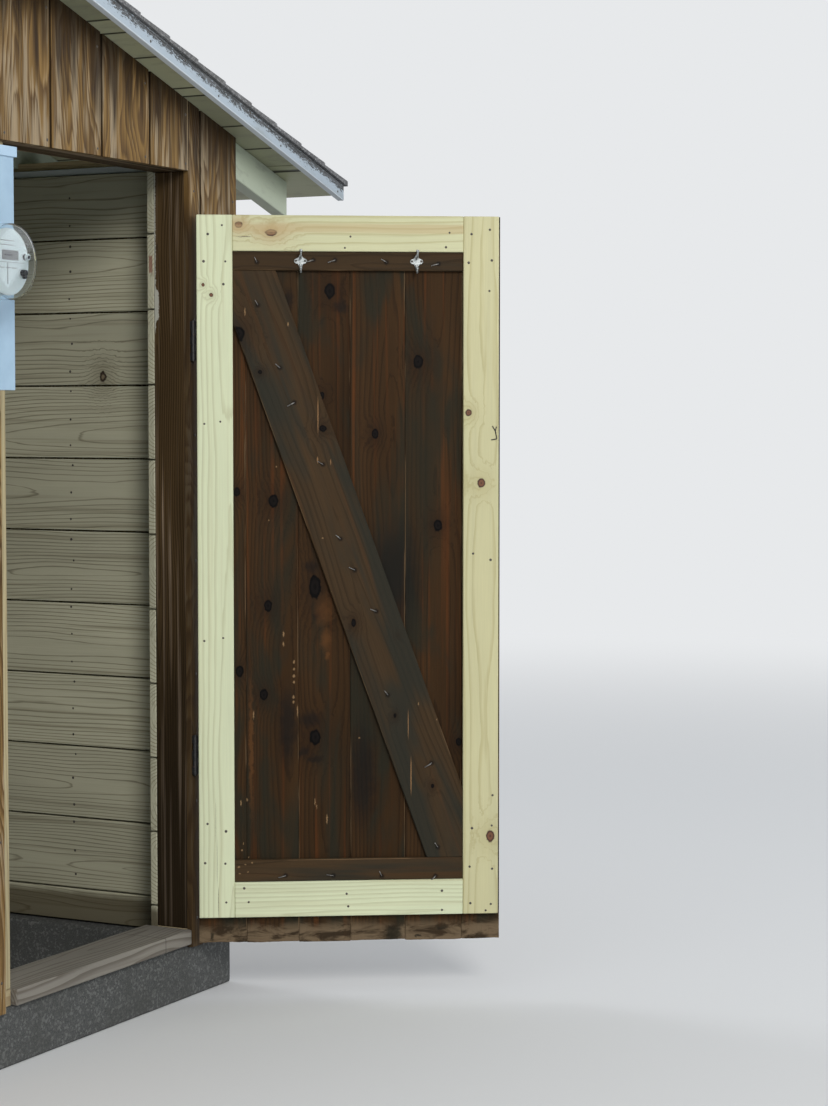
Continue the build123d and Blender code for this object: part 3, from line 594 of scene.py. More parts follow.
railPine = dict(yellowPine, pale=(0.62, 0.62, 0.39), spots=[(113, 1936, 10, 8), (193.6, 1917, 15, 9)], layers=(railStreak,),
                halo=0.6, haloColour=(0.42, 0.25, 0.11))
stained = {
    "pale": (0.042, 0.0215, 0.0085), "late": (0.019, 0.0105, 0.0052), "ringGap": 0.0085, "lateShare": 0.8, "wander": 0.016,
    "ringDepth": 0.6, "streakColour": (0.085, 0.03, 0.009), "streakDepth": 0.8, "fibre": 0.45,
    "toneSpread": 1.1, "boardSpread": 0.3, "knots": 0.3, "knotColour": (0.0015, 0.0014, 0.0014),
    "knotHeart": (0.0068, 0.0052, 0.0048), "halo": 0.55, "haloColour": (0.02, 0.0105, 0.006),
    "rough": 0.56, "bump": 0.45, "gloss": 0.06, "under": (bluish, darkSmudges, goldenWear),
    "layers": (wornArris, paintFlecks, wornBottom),
    "spots": [(339.3, 1775.3, 13, 20), (198, 1252.7, 12, 17), (300.5, 1036.9, 15, 30), (300.9, 659.1, 14, 20),
              (318.2, 1515.1, 7, 10), (106.9, 1275.4, 8, 12), (663.8, 642.5, 8, 10), (182.9, 991, 10, 15), (172, 766.9, 10, 14),
              (111.9, 827.3, 10, 14), (560, 1600, 12, 17), (610, 1190, 11, 15), (452, 1420, 9, 12)],
}
bracing = dict(stained, pale=(0.055, 0.034, 0.0172), late=(0.031, 0.02, 0.0108), toneSpread=0.7,
               streakColour=(0.07, 0.034, 0.015), streakDepth=0.5, under=(braceBlue, paintedNailShade),
               layers=(wornArris, paintFlecks, braceCrack),
               spots=[(321.1, 1433.4, 9, 8), (164.9, 1573.6, 5, 5), (112, 1668, 14, 18), (396.7, 947, 6, 10),
                      (500.6, 713.1, 4, 6), (595.6, 533.5, 4, 6)])
postLooks = dict(stained, pale=(0.064, 0.04, 0.018), late=(0.011, 0.0065, 0.0038), ringGap=0.006,
                 streakColour=(0.3, 0.225, 0.16), streakDepth=0.9, streakFrom=0.5, toneSpread=1.5,
                 under=(), layers=(rustRuns, dirtyFoot, strayPaint), spots=[])
headerLooks = dict(postLooks, pale=(0.05, 0.032, 0.015), layers=())
liningLooks = {
    "pale": (0.435, 0.425, 0.315), "late": (0.13, 0.115, 0.07), "ringGap": 0.0085, "lateShare": 0.42, "wander": 0.015,
    "ringDepth": 0.72, "streakColour": (0.19, 0.17, 0.11), "streakDepth": 0.45, "fibre": 0.2,
    "toneSpread": 0.35, "boardSpread": 0.22, "knots": 0.4, "knotColour": (0.022, 0.012, 0.007), "knotHeart": (0.2, 0.16, 0.1),
    "rough": 0.7, "bump": 0.45, "layers": (dampFoot, redTag),
    "spotPlane": rightWallPlace, "spots": [(266.6, 1566, 13, 17)],
}
framing = dict(liningLooks, pale=(0.42, 0.34, 0.2), late=(0.24, 0.165, 0.085), lateShare=0.7, ringDepth=0.6,
               knotColour=(0.09, 0.04, 0.02), knotHeart=(0.2, 0.11, 0.05), layers=(), spots=[])
newPost = dict(framing, pale=(0.37, 0.315, 0.185), late=(0.215, 0.165, 0.085))
sillLooks = dict(liningLooks, pale=(0.185, 0.172, 0.148), late=(0.075, 0.062, 0.048), streakColour=(0.12, 0.1, 0.08),
                 streakDepth=0.7, knots=0.6, toneSpread=0.6, layers=(buttLine,), bump=0.8, spots=[], lateShare=0.7)

framePineGreen = woodMaterial("framePineGreen", greenPine)
framePineYellow = woodMaterial("framePineYellow", yellowPine)
topRailPine = woodMaterial("topRailPine", railPine)
stainedBoards = woodMaterial("stainedBoards", stained)
stainedBrace = woodMaterial("stainedBrace", bracing)
stainedPost = woodMaterial("stainedPost", postLooks)
stainedHeader = woodMaterial("stainedHeader", headerLooks)
liningBoards = woodMaterial("liningBoards", liningLooks)
studTimber = woodMaterial("studTimber", framing)
leftPostTimber = woodMaterial("leftPostTimber", newPost)
sillTimber = woodMaterial("sillTimber", sillLooks)


def sidingMaterial(name, looks):
    made, w, shader = newMaterial(name)
    grain, board = w.attribute("grain"), w.attribute("board")
    got = useGroup(w, veneerGrain, Place=grain.outputs["Vector"], Board=board.outputs["Fac"], Bands=looks["bands"])
    colour = w.mix(w.maths("MULTIPLY", got["Band"], looks["bandDepth"]), looks["early"], looks["late"])
    colour = w.mix(w.between(got["Dark"], 0.5, 0.66, 0.0, looks["darkened"]), colour, looks["darkColour"])
    flames = w.maths("ADD", got["Pale"], w.maths("MULTIPLY", w.maths("SUBTRACT", 0.5, got["Band"]), 0.1))
    colour = w.mix(w.between(flames, 0.5, 0.64, 0.0, looks["bleached"]), colour, looks["paleColour"])
    colour = w.mix(w.between(got["Line"], 0.54, 0.68, 0.0, looks["lined"]), colour, looks["lineColour"])
    colour = w.mix(w.between(got["Line"], 0.46, 0.34, 0.0, looks["lined"]), colour, looks["darkColour"])
    tone = w.maths("MULTIPLY_ADD", got["Fibre"], looks["fibre"], 1 - looks["fibre"] / 2)
    colour = w.mix(1.0, colour, w.add("ShaderNodeCombineColor", {0: tone, 1: tone, 2: tone}).outputs[0], "MULTIPLY")
    for layer in looks["layers"]:
        colour = layer(w, colour, grain.outputs["Vector"])
    w.plug(shader.inputs["Base Color"], colour)
    w.plug(shader.inputs["Roughness"], w.maths("MULTIPLY_ADD", got["Band"], -0.15, 0.72))
    shader.inputs["Specular IOR Level"].default_value = 0.14
    bump(w, shader, got["Height"], 0.6, 0.0012)
    return made


sidingPlywood = sidingMaterial("sidingPlywood", {
    "bands": 22.0, "bandDepth": 0.85, "early": (0.235, 0.142, 0.05), "late": (0.07, 0.036, 0.012),
    "bleached": 0.52, "paleColour": (0.4, 0.34, 0.245), "darkened": 0.45, "darkColour": (0.036, 0.0185, 0.007),
    "lined": 0.38, "lineColour": (0.4, 0.29, 0.15), "fibre": 0.5, "layers": (smokyTop, oldStain, paleEdge, grooveShade)})


def paintedMaterial(name, looks):
    # white paint over bare grey wood, with dirt in it
    made, w, shader = newMaterial(name)
    grain, board = w.attribute("grain"), w.attribute("board")
    y, edge = grainAcross(w, grain.outputs["Vector"])
    low, high = looks["left"]
    share = w.between(w.maths("DIVIDE", y, w.attribute("halfWidth").outputs["Fac"]), -0.75, 0.7, low, high)
    got = useGroup(w, peelingPaint, Place=grain.outputs["Vector"], Left=share)
    wood = useGroup(w, woodGrain, Place=grain.outputs["Vector"], Board=board.outputs["Fac"],
                    Ring_gap=0.008, Late_share=0.6, Wander=0.015, Knots=0.3)
    bare = w.mix(w.between(wood["Fibre"], 0.35, 0.65), looks["bare"], looks["bareLate"])
    own = w.maths("FRACT", w.maths("MULTIPLY", board.outputs["Fac"], 13.7))
    paint = w.mix(w.maths("MULTIPLY", own, looks["boardSpread"]), looks["paint"], looks["oldPaint"])
    paint = w.mix(w.between(got["Grime"], 0.5, 0.75, 0.0, looks["grime"]), paint, looks["grimeColour"])
    colour = w.mix(got["Paint"], bare, paint)
    colour = w.mix(w.maths("MULTIPLY", got["Edge"], 0.35), colour, looks["grimeColour"])
    if looks.get("joint"):
        colour = w.mix(w.between(edge, 0.0042, 0.0016, 0.0, looks["joint"]), colour, (0.016, 0.016, 0.012))
    # painted highlight: a bright bluish line along one arris of the board
    if looks.get("arris"):
        side = w.between(w.maths("DIVIDE", y, w.attribute("halfWidth").outputs["Fac"]), -0.84, -0.93)
        colour = w.mix(w.maths("MULTIPLY", side, 0.8), colour, looks["arris"])
    w.plug(shader.inputs["Base Color"], colour)
    w.plug(shader.inputs["Roughness"], w.between(got["Paint"], 0.0, 1.0, 0.82, 0.45))
    shader.inputs["Specular IOR Level"].default_value = 0.25
    high = w.maths("MULTIPLY_ADD", wood["Height"], 0.3, w.maths("MULTIPLY", got["Paint"], 0.7))
    bump(w, shader, high, 0.5, 0.0008)
    return made


whitePaint = {
    "left": (0.97, 0.97), "paint": (0.4, 0.455, 0.36), "oldPaint": (0.27, 0.315, 0.25), "boardSpread": 0.9, "joint": 0.0,
    "grime": 0.5, "grimeColour": (0.2, 0.2, 0.165), "bare": (0.15, 0.152, 0.15), "bareLate": (0.05, 0.052, 0.052),
}
soffitPaint = paintedMaterial("soffitPaint", dict(whitePaint, paint=(0.42, 0.43, 0.285), oldPaint=(0.285, 0.295, 0.195), joint=0.9))
rafterPaint = paintedMaterial("rafterPaint", dict(whitePaint, left=(0.9, 0.9), paint=(0.47, 0.53, 0.42), boardSpread=0.3))
rakePaint = paintedMaterial("rakePaint", dict(whitePaint, left=(0.86, 0.33), paint=(0.4, 0.475, 0.55), oldPaint=(0.34, 0.4, 0.45),
                                              bare=(0.15, 0.158, 0.17), arris=(0.66, 0.72, 0.77), grime=0.35))
stripPaint = paintedMaterial("stripPaint", dict(whitePaint, paint=(0.5, 0.55, 0.57), oldPaint=(0.42, 0.46, 0.46), boardSpread=0.2))


def grittyMaterial(name, looks):
    # concrete and mineral granules: broad stains, then grains of several sizes
    made, w, shader = newMaterial(name)
    place = w.place()
    cloud = w.noise(place, scale=looks["cloud"], detail=4, rough=0.6).outputs[0]
    grit = w.noise(place, scale=looks["grit"], detail=3, rough=0.8).outputs[0]
    stones = w.add("ShaderNodeTexVoronoi", {"Vector": place, "Scale": looks["grit"] * 0.55}, feature="F1").outputs["Color"]
    pick = w.add("ShaderNodeSeparateColor", {0: stones}).outputs[0]
    colour = w.mix(w.between(grit, 0.3, 0.7), looks["dark"], looks["mid"])
    colour = w.mix(w.between(pick, 0.62, 0.95, 0.0, looks["sparkle"]), colour, looks["light"])
    colour = w.mix(w.between(cloud, 0.45, 0.68, 0.0, looks["stain"]), colour, looks["stainColour"])
    if looks.get("board"):
        own = w.attribute("board").outputs["Fac"]
        tone = w.maths("MULTIPLY_ADD", own, looks["board"], 1 - looks["board"] / 2)
        colour = w.mix(1.0, colour, w.add("ShaderNodeCombineColor", {0: tone, 1: tone, 2: tone}).outputs[0], "MULTIPLY")
    w.plug(shader.inputs["Base Color"], colour)
    w.plug(shader.inputs["Roughness"], w.between(grit, 0.2, 0.8, 0.98, 0.8))
    bump(w, shader, w.maths("MULTIPLY_ADD", cloud, 0.7, w.maths("MULTIPLY", grit, 0.6)), 0.8, looks["depth"])
    return made


# the curb's own grey, set darker as painted shade over the whole curb
concrete = grittyMaterial("concrete", {
    "cloud": 9, "grit": 320, "dark": (0.036, 0.038, 0.037), "mid": (0.09, 0.094, 0.093), "light": (0.2, 0.203, 0.197),
    "sparkle": 0.45, "stain": 0.55, "stainColour": (0.05, 0.052, 0.048), "depth": 0.003})
shingleGrit = grittyMaterial("shingleGrit", {
    "cloud": 5, "grit": 520, "dark": (0.05, 0.051, 0.054), "mid": (0.17, 0.172, 0.178), "light": (0.36, 0.36, 0.37),
    "sparkle": 0.55, "stain": 0.4, "stainColour": (0.09, 0.088, 0.082), "depth": 0.0012, "board": 0.5})
print("wood, paint and stone materials made")

# Every timber is a softened copy of its solid, with grain that runs along each board
timbers = [
    ("foundation_curb", concrete, "x", "concrete", 0.008), ("door_sill", sillTimber, "x", "sill_wood", 0.004),
    ("sole_plates", studTimber, "long", "framing_wood", 0.002), ("right_door_post", stainedPost, "up", "stained_wood", 0.003),
    ("left_door_post", leftPostTimber, "up", "new_wood", 0.003), ("wall_studs", studTimber, "up", "framing_wood", 0.002),
    ("top_plates", studTimber, "long", "framing_wood", 0.002), ("door_header", stainedHeader, "x", "stained_wood", 0.002),
    ("gable_studs", studTimber, "up", "framing_wood", 0.001), ("front_siding_right", sidingPlywood, "up", "siding_wood", 0.001),
    ("front_siding_header", sidingPlywood, "up", "siding_wood", 0.001), ("front_siding_left", sidingPlywood, "up", "siding_wood", 0.001),
    ("back_siding", sidingPlywood, "up", "siding_wood", 0.001), ("left_siding", sidingPlywood, "up", "siding_wood", 0.001),
    ("right_siding", sidingPlywood, "up", "siding_wood", 0.001), ("lining_right", liningBoards, "y", "lining_wood", 0.0025),
    ("lining_left", liningBoards, "y", "lining_wood", 0.0025), ("lining_back", liningBoards, "x", "lining_wood", 0.0025),
    ("lining_front", liningBoards, "x", "lining_wood", 0.0025), ("lining_cap_strips", stripPaint, "long", "white_wood", 0.0015),
    ("rafters", rafterPaint, "slope", "white_wood", 0.0025), ("ridge_board", rafterPaint, "y", "white_wood", 0.0015),
    ("sheathing_right", soffitPaint, "y", "white_wood", 0.0015), ("sheathing_left", soffitPaint, "y", "white_wood", 0.0015),
    ("rake_boards", rakePaint, "slope", "white_wood", 0.002), ("shingles_right", shingleGrit, "y", "shingle", 0.001),
    ("shingles_left", shingleGrit, "y", "shingle", 0.001),
]
for node, material, along, slotName, edge in timbers:
    dress(node, material, along, slotName, edge)
doorTimbers = [
    ("top_ledge", stainedBrace, "doorAcross", "stained_wood", 0.002), ("bottom_ledge", stainedBrace, "doorAcross", "stained_wood", 0.002),
    ("brace", stainedBrace, "brace", "stained_wood", 0.0025), ("hinge_stile", framePineGreen, "doorUp", "new_wood", 0.0022),
    ("latch_stile", framePineYellow, "doorUp", "new_wood", 0.0022), ("top_rail", topRailPine, "doorAcross", "new_wood", 0.0022),
    ("bottom_rail", framePineGreen, "doorAcross", "new_wood", 0.0022),
]
for node, material, along, slotName, edge in doorTimbers:
    dress(node, material, along, slotName, edge, "door")
print("timbers dressed")

# Door boards: tongued and beaded, each its own board with a ragged lower end
doorBoards = {
    "joints": (8.5, 128, 259, 389, 527, 670, 766), "foot": 140.0, "head": 1961.0, "thick": 19.0,
    "groove": 1.6, "grooveDeep": 3.0, "step": 6.0, "ragged": 3.4, "seed": 5,
}


def makeDoorBoards(settings):
    mesh = bmesh.new()
    dice = random.Random(settings["seed"])
    joints = settings["joints"]
    for left, right in zip(joints[:-1], joints[1:]):
        g, d, back = settings["groove"], settings["grooveDeep"], settings["thick"]
        leftIn = left + (g if left != joints[0] else 0.0)
        rightIn = right - (g if right != joints[-1] else 0.0)
        count = max(3, round((rightIn - leftIn) / settings["step"]))
        span = [leftIn + (rightIn - leftIn) * i / count for i in range(count + 1)]
        outline = [(u, 0.0) for u in span]
        outline += [(rightIn, -d), (right - 0.05, -d), (right - 0.05, d - back), (rightIn, d - back)]
        outline += [(u, -back) for u in reversed(span)]
        outline += [(leftIn, d - back), (left + 0.05, d - back), (left + 0.05, -d), (leftIn, -d)]
        rag, level = {}, dice.uniform(0.5, 2.0)
        for u in span:
            level = min(settings["ragged"], max(0.0, level + dice.uniform(-0.55, 0.55)))
            rag[round(u, 3)] = level
        low, high = [], []
        for u, t in outline:
            nearest = min(rag, key=lambda key: abs(key - u))
            low.append(mesh.verts.new(door(u, t, settings["foot"] + rag[nearest])))
            high.append(mesh.verts.new(door(u, t, settings["head"])))
        for i in range(len(outline)):
            j = (i + 1) % len(outline)
            mesh.faces.new((low[i], low[j], high[j], high[i]))
        mesh.faces.new(list(reversed(low)))
        mesh.faces.new(high)
    bmesh.ops.recalc_face_normals(mesh, faces=mesh.faces)
    markBoards(mesh, "doorUp", "doorBoards")
    return finishPiece("doorBoards", mesh, stainedBoards, "door", "stained_wood", 0.0, 1, ("door_boards",))


makeDoorBoards(doorBoards)
print("door boards made")

def metalMaterial(name, looks):
    made, w, shader = newMaterial(name)
    place = w.place()
    cloud = w.noise(place, scale=looks["cloud"], detail=4, rough=0.65).outputs[0]
    cell = w.add("ShaderNodeTexVoronoi", {"Vector": place, "Scale": looks["spangle"]}).outputs["Color"]
    pick = w.add("ShaderNodeSeparateColor", {0: cell}).outputs[0]
    colour = w.mix(pick, looks["colour"], looks["other"])
    rust = w.between(cloud, looks["rustFrom"], looks["rustFrom"] + 0.1)
    colour = w.mix(rust, colour, looks["rust"])
    w.plug(shader.inputs["Base Color"], colour)
    w.plug(shader.inputs["Metallic"], w.between(rust, 0.0, 1.0, looks["metal"], 0.0))
    w.plug(shader.inputs["Roughness"], w.between(rust, 0.0, 1.0, looks["rough"], 0.85))
    bump(w, shader, cloud, 0.3, 0.0004)
    return made


rustBrown = (0.09, 0.04, 0.02)
blackIron = metalMaterial("blackIron", {
    "cloud": 90, "spangle": 300, "colour": (0.022, 0.022, 0.024), "other": (0.035, 0.034, 0.034),
    "rustFrom": 0.62, "rust": rustBrown, "metal": 0.3, "rough": 0.5})
zincPlate = metalMaterial("zincPlate", {
    "cloud": 150, "spangle": 330, "colour": (0.26, 0.285, 0.29), "other": (0.44, 0.465, 0.47),
    "rustFrom": 0.6, "rust": (0.1, 0.09, 0.075), "metal": 0.7, "rough": 0.4})
nailSteel = metalMaterial("nailSteel", {
    "cloud": 400, "spangle": 500, "colour": (0.05, 0.047, 0.042), "other": (0.11, 0.1, 0.09),
    "rustFrom": 0.55, "rust": (0.06, 0.03, 0.017), "metal": 0.5, "rough": 0.55})
brightSteel = metalMaterial("brightSteel", {
    "cloud": 260, "spangle": 500, "colour": (0.16, 0.157, 0.15), "other": (0.3, 0.295, 0.285),
    "rustFrom": 0.52, "rust": (0.03, 0.022, 0.017), "metal": 0.75, "rough": 0.45})


def enamelMaterial(name, colour, other, rough, gloss=0.5):
    # a smooth factory finish with faint clouding and a little dust
    made, w, shader = newMaterial(name)
    cloud = w.noise(w.place(), scale=11, detail=4, rough=0.6).outputs[0]
    fine = w.noise(w.place(), scale=700, detail=2).outputs[0]
    w.plug(shader.inputs["Base Color"], w.mix(w.between(cloud, 0.4, 0.7), colour, other))
    w.plug(shader.inputs["Roughness"], w.between(cloud, 0.3, 0.7, rough, rough + 0.14))
    shader.inputs["Specular IOR Level"].default_value = gloss
    bump(w, shader, fine, 0.12, 0.0003)
    return made


meterPaint = enamelMaterial("meterPaint", (0.37, 0.53, 0.68), (0.33, 0.48, 0.63), 0.36)
dialWhite = enamelMaterial("dialWhite", (0.5, 0.56, 0.57), (0.44, 0.5, 0.51), 0.4, 0.3)
dialGrey = enamelMaterial("dialGrey", (0.15, 0.145, 0.15), (0.12, 0.118, 0.12), 0.45, 0.12)
dialBlack = enamelMaterial("dialBlack", (0.004, 0.005, 0.007), (0.009, 0.011, 0.014), 0.5, 0.05)
clearDome, w, shader = newMaterial("clearDome")
shader.inputs["Base Color"].default_value = (0.94, 0.975, 0.985, 1)
shader.inputs["Transmission Weight"].default_value = 1.0
shader.inputs["IOR"].default_value = 1.22
w.plug(shader.inputs["Roughness"], w.between(w.noise(w.place(), scale=24, detail=3).outputs[0], 0.45, 0.75, 0.003, 0.03))

carried = [("meter_box", meterPaint, "meter_paint", 0.0012), ("meter_collar", zincPlate, "galvanised", 0.0008),
           ("meter_glass", clearDome, "clear_glass", 0.0), ("meter_dial", dialWhite, "meter_plastic", 0.0008),
           ("hinge_leaves_fixed", blackIron, "black_iron", 0.0004), ("hinge_pins", blackIron, "black_iron", 0.0004)]
for node, material, slotName, edge in carried:
    dress(node, material, "up", slotName, edge)
for node in ("hinge_leaves_door", "latch_hook"):
    dress(node, blackIron, "doorUp", "black_iron", 0.0003, "door")


# Geometry Nodes trees that set one small item on every point of a list
def repeatTree(name, sizes, item):
    tree = bpy.data.node_groups.new(name, "GeometryNodeTree")
    face = tree.interface
    face.new_socket(name="Points", in_out="INPUT", socket_type="NodeSocketGeometry")
    for label, value in list(sizes.items()) + [("Vary", 0.1), ("Spin", 6.283)]:
        face.new_socket(name=label, in_out="INPUT", socket_type="NodeSocketFloat").default_value = value
    face.new_socket(name="Seed", in_out="INPUT", socket_type="NodeSocketInt").default_value = 1
    face.new_socket(name="Finish", in_out="INPUT", socket_type="NodeSocketMaterial")
    face.new_socket(name="Geometry", in_out="OUTPUT", socket_type="NodeSocketGeometry")
    w = Wiring(tree)
    given = w.add("NodeGroupInput").outputs
    turn = w.add("GeometryNodeInputNamedAttribute", {"Name": "turn"}, data_type="FLOAT_VECTOR").outputs[0]
    turn = w.add("FunctionNodeEulerToRotation", {0: turn}).outputs[0]
    spin = w.add("FunctionNodeRandomValue", {2: 0.0, 3: given["Spin"], 8: given["Seed"]}, data_type="FLOAT").outputs[1]
    spin = w.add("FunctionNodeAxisAngleToRotation", {0: (0, 0, 1), 1: spin}).outputs[0]
    turn = w.add("FunctionNodeRotateRotation", {0: turn, 1: spin}, rotation_space="LOCAL").outputs[0]
    low, high = w.maths("SUBTRACT", 1.0, given["Vary"]), w.maths("ADD", 1.0, given["Vary"])
    grow = w.add("FunctionNodeRandomValue", {2: low, 3: high, 8: given["Seed"]}, data_type="FLOAT").outputs[1]
    placed = w.add("GeometryNodeInstanceOnPoints", {"Points": given["Points"], "Instance": item(w, given),
                                                    "Rotation": turn, "Scale": grow}).outputs[0]
    number = w.add("FunctionNodeRandomValue", {2: 0.0, 3: 1.0, 8: given["Seed"]}, data_type="FLOAT").outputs[1]
    placed = w.add("GeometryNodeStoreNamedAttribute", {"Geometry": placed, "Name": "board", "Value": number},
                   data_type="FLOAT", domain="INSTANCE").outputs[0]
    solid = w.add("GeometryNodeRealizeInstances", {0: placed}).outputs[0]
    solid = w.add("GeometryNodeSetMaterial", {"Geometry": solid, "Material": given["Finish"]}).outputs[0]
    w.plug(w.add("NodeGroupOutput").inputs[0], solid)
    return tree


def domedHead(w, given):
    return w.add("GeometryNodeMeshCone", {"Vertices": 10, "Radius Top": w.maths("MULTIPLY", given["Radius"], 0.62),
                                          "Radius Bottom": given["Radius"], "Depth": given["Height"]}).outputs[0]


def clinched(w, given):
    # a nail point bent over and hammered flat along the surface
    length = given["Length"]
    middle = w.add("ShaderNodeCombineXYZ", {0: w.maths("MULTIPLY", length, 0.1), 2: w.maths("MULTIPLY", length, 0.42)}).outputs[0]
    end = w.add("ShaderNodeCombineXYZ", {0: length, 2: given["Radius"]}).outputs[0]
    line = w.add("GeometryNodeCurveQuadraticBezier", {"Resolution": 6, "Start": (0, 0, -0.001), "Middle": middle, "End": end}).outputs[0]
    ring = w.add("GeometryNodeCurvePrimitiveCircle", {"Resolution": 6, "Radius": given["Radius"]}).outputs[0]
    return w.add("GeometryNodeCurveToMesh", {"Curve": line, "Profile Curve": ring, "Fill Caps": True}).outputs[0]


def slab(w, given):
    size = w.add("ShaderNodeCombineXYZ", {0: given["Width"], 1: given["Length"], 2: given["Height"]}).outputs[0]
    return w.add("GeometryNodeMeshCube", {"Size": size}).outputs[0]


headTree = repeatTree("domedHeads", {"Radius": 0.0035, "Height": 0.0012}, domedHead)
clinchTree = repeatTree("clinchedNails", {"Radius": 0.0013, "Length": 0.018}, clinched)
slabTree = repeatTree("shingleTabs", {"Width": 0.3, "Length": 0.13, "Height": 0.003}, slab)


def repeat(name, tree, points, material, body, slot, **sizes):
    data = bpy.data.meshes.new(name + "Points")
    data.from_pydata([tuple(place) for place, out, along in points], [], [])
    turn = data.attributes.new("turn", "FLOAT_VECTOR", "POINT")
    for i, (place, out, along) in enumerate(points):
        z = out.normalized()
        y = z.cross(along).normalized()
        turn.data[i].vector = Matrix((y.cross(z), y, z)).transposed().to_euler()
    carrier = bpy.data.objects.new(name + "Points", data)
    scene.collection.objects.link(carrier)
    modifier = carrier.modifiers.new("repeat", "NODES")
    modifier.node_group = tree
    for socket in tree.interface.items_tree:
        if socket.in_out == "INPUT" and socket.name in sizes:
            modifier[socket.identifier] = sizes[socket.name]
        elif socket.in_out == "INPUT" and socket.name == "Finish":
            modifier[socket.identifier] = material
    graph = bpy.context.evaluated_depsgraph_get()
    shape = bpy.data.meshes.new_from_object(carrier.evaluated_get(graph), preserve_all_data_layers=True, depsgraph=graph)
    carrier.modifiers.remove(modifier)
    bpy.data.objects.remove(carrier)
    shape.name = name
    shape.shade_smooth()
    shape.set_sharp_from_angle(angle=math.radians(40))
    piece = bpy.data.objects.new(name, shape)
    scene.collection.objects.link(piece)
    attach(piece, body)
    return piece


# Screws of the pale door frame, read from the photograph in mm across and up the door
frameScrews = {
    "places": [(37, 1913), (72, 1935), (26.5, 1846), (80, 1846), (75, 1790), (26.5, 1445), (66, 1450.5), (30, 446),
               (76, 426.5), (23.6, 347), (74, 345), (76, 247), (24, 905), (71, 912), (390, 1909), (637, 1920),
               (376, 1881), (628, 1884), (121, 282), (132, 247), (378, 264), (382, 232), (619, 268), (619, 219),
               (692, 1917), (738, 1928), (685, 1846), (743, 1852), (737, 1776), (697, 1120), (741, 1104), (745, 432),
               (695, 426), (689, 328), (746, 322), (691, 235), (743, 232), (730, 216), (747, 509)],
    "radius": 0.0031, "height": 0.0006,
}
repeat("frameScrews", headTree, [(door(u, 19, z), inward, upward) for u, z in frameScrews["places"]], nailSteel, "door",
       "black_iron", Radius=frameScrews["radius"], Height=frameScrews["height"], Vary=0.2, Seed=4)

repeat("clinchedNails", clinchTree, [(door(u, 14, z), inward, upward - across * 0.45) for u, z in clinchedNails["places"]],
       brightSteel, "door", "black_iron", Length=clinchedNails["length"], Radius=clinchedNails["radius"],
       Vary=0.22, Spin=1.9, Seed=9)

outerNails = []
for u in (40, 100, 160, 225, 290, 355, 420, 495, 560, 635, 700, 742):
    outerNails += [(u, z + (u % 7) - 3) for z in (1836, 1862, 312, 336)]
    if 150 < u < 640:
        outerNails.append((u, 1088 - (u - 393) / math.tan(lean) + 12))
repeat("outerNails", headTree, [(door(u, -19, z), -inward, upward) for u, z in outerNails], nailSteel, "door", "black_iron",
       Radius=0.0036, Height=0.001, Seed=3)


# Nails of the siding, the lining and the roof edge
wallNails = {"left": -1.241, "right": 0.588, "front": -0.0605, "back": 1.7685, "ridge": 2.4517, "slope": 0.3043,
             "ridgeX": -0.3265, "rowStep": 0.3, "firstRow": 0.21}


def sidingNails(settings):
    dice, points = random.Random(21), []

    def column(x, y, out, low, high):
        z = low
        while z < high:
            points.append((Vector((x, y, z + dice.uniform(-0.012, 0.012))), out, upward))
            z += settings["rowStep"]
    for x in (-1.224, -1.02, -0.836, -0.632, -0.428, 0.386, 0.572):
        top = settings["ridge"] - settings["slope"] * abs(x - settings["ridgeX"]) - 0.05
        column(x, settings["front"], Vector((0, -1, 0)), settings["firstRow"], top)
    for x in (-0.39, -0.23, -0.03, 0.17, 0.35):
        top = settings["ridge"] - settings["slope"] * abs(x - settings["ridgeX"]) - 0.04
        points += [(Vector((x, settings["front"], z)), Vector((0, -1, 0)), upward) for z in (2.086, top)]
    for x in (-1.224, -0.836, -0.43, -0.02, 0.38, 0.572):
        top = settings["ridge"] - settings["slope"] * abs(x - settings["ridgeX"]) - 0.05
        column(x, settings["back"], Vector((0, 1, 0)), settings["firstRow"], top)
    for y in (-0.04, 0.36, 0.77, 1.17, 1.57, 1.745):
        column(settings["right"], y, Vector((1, 0, 0)), settings["firstRow"], 2.1)
        column(settings["left"], y, Vector((-1, 0, 0)), settings["firstRow"], 2.1)
    return points


def liningNails():
    # three nails a board at every stud
    dice, points = random.Random(8), []
    for board in range(10):
        foot = 0.229 + 0.188 * board
        for rise3 in (0.028, 0.104, 0.170):
            z = foot + rise3
            if z > 2.07:
                continue
            for y in (0.366, 0.8, 1.24, 1.6):
                for x, out in ((0.443, -1), (-1.096, 1)):
                    at = Vector((x, y + dice.uniform(-0.006, 0.006), z + dice.uniform(-0.008, 0.008)))
                    points.append((at, Vector((out, 0, 0)), upward))
            for x in (-0.96, -0.55, -0.14, 0.27):
                points.append((Vector((x + dice.uniform(-0.006, 0.006), 1.6435, z)), Vector((0, -1, 0)), upward))
    return points


liningFaces = {"right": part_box("lining_right")[0][0], "left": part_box("lining_left")[1][0], "back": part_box("lining_back")[0][1]}
liningPoints = []
for at, out, along in liningNails():
    if out.x:
        at.x = liningFaces["right"] if out.x < 0 else liningFaces["left"]
    else:
        at.y = liningFaces["back"]
    liningPoints.append((at, out, along))
repeat("sidingNails", headTree, sidingNails(wallNails), nailSteel, "building", "black_iron", Radius=0.0036, Height=0.001, Seed=2)
repeat("liningNails", headTree, liningPoints, nailSteel, "building", "black_iron", Radius=0.0031, Height=0.0008, Vary=0.2, Seed=6)

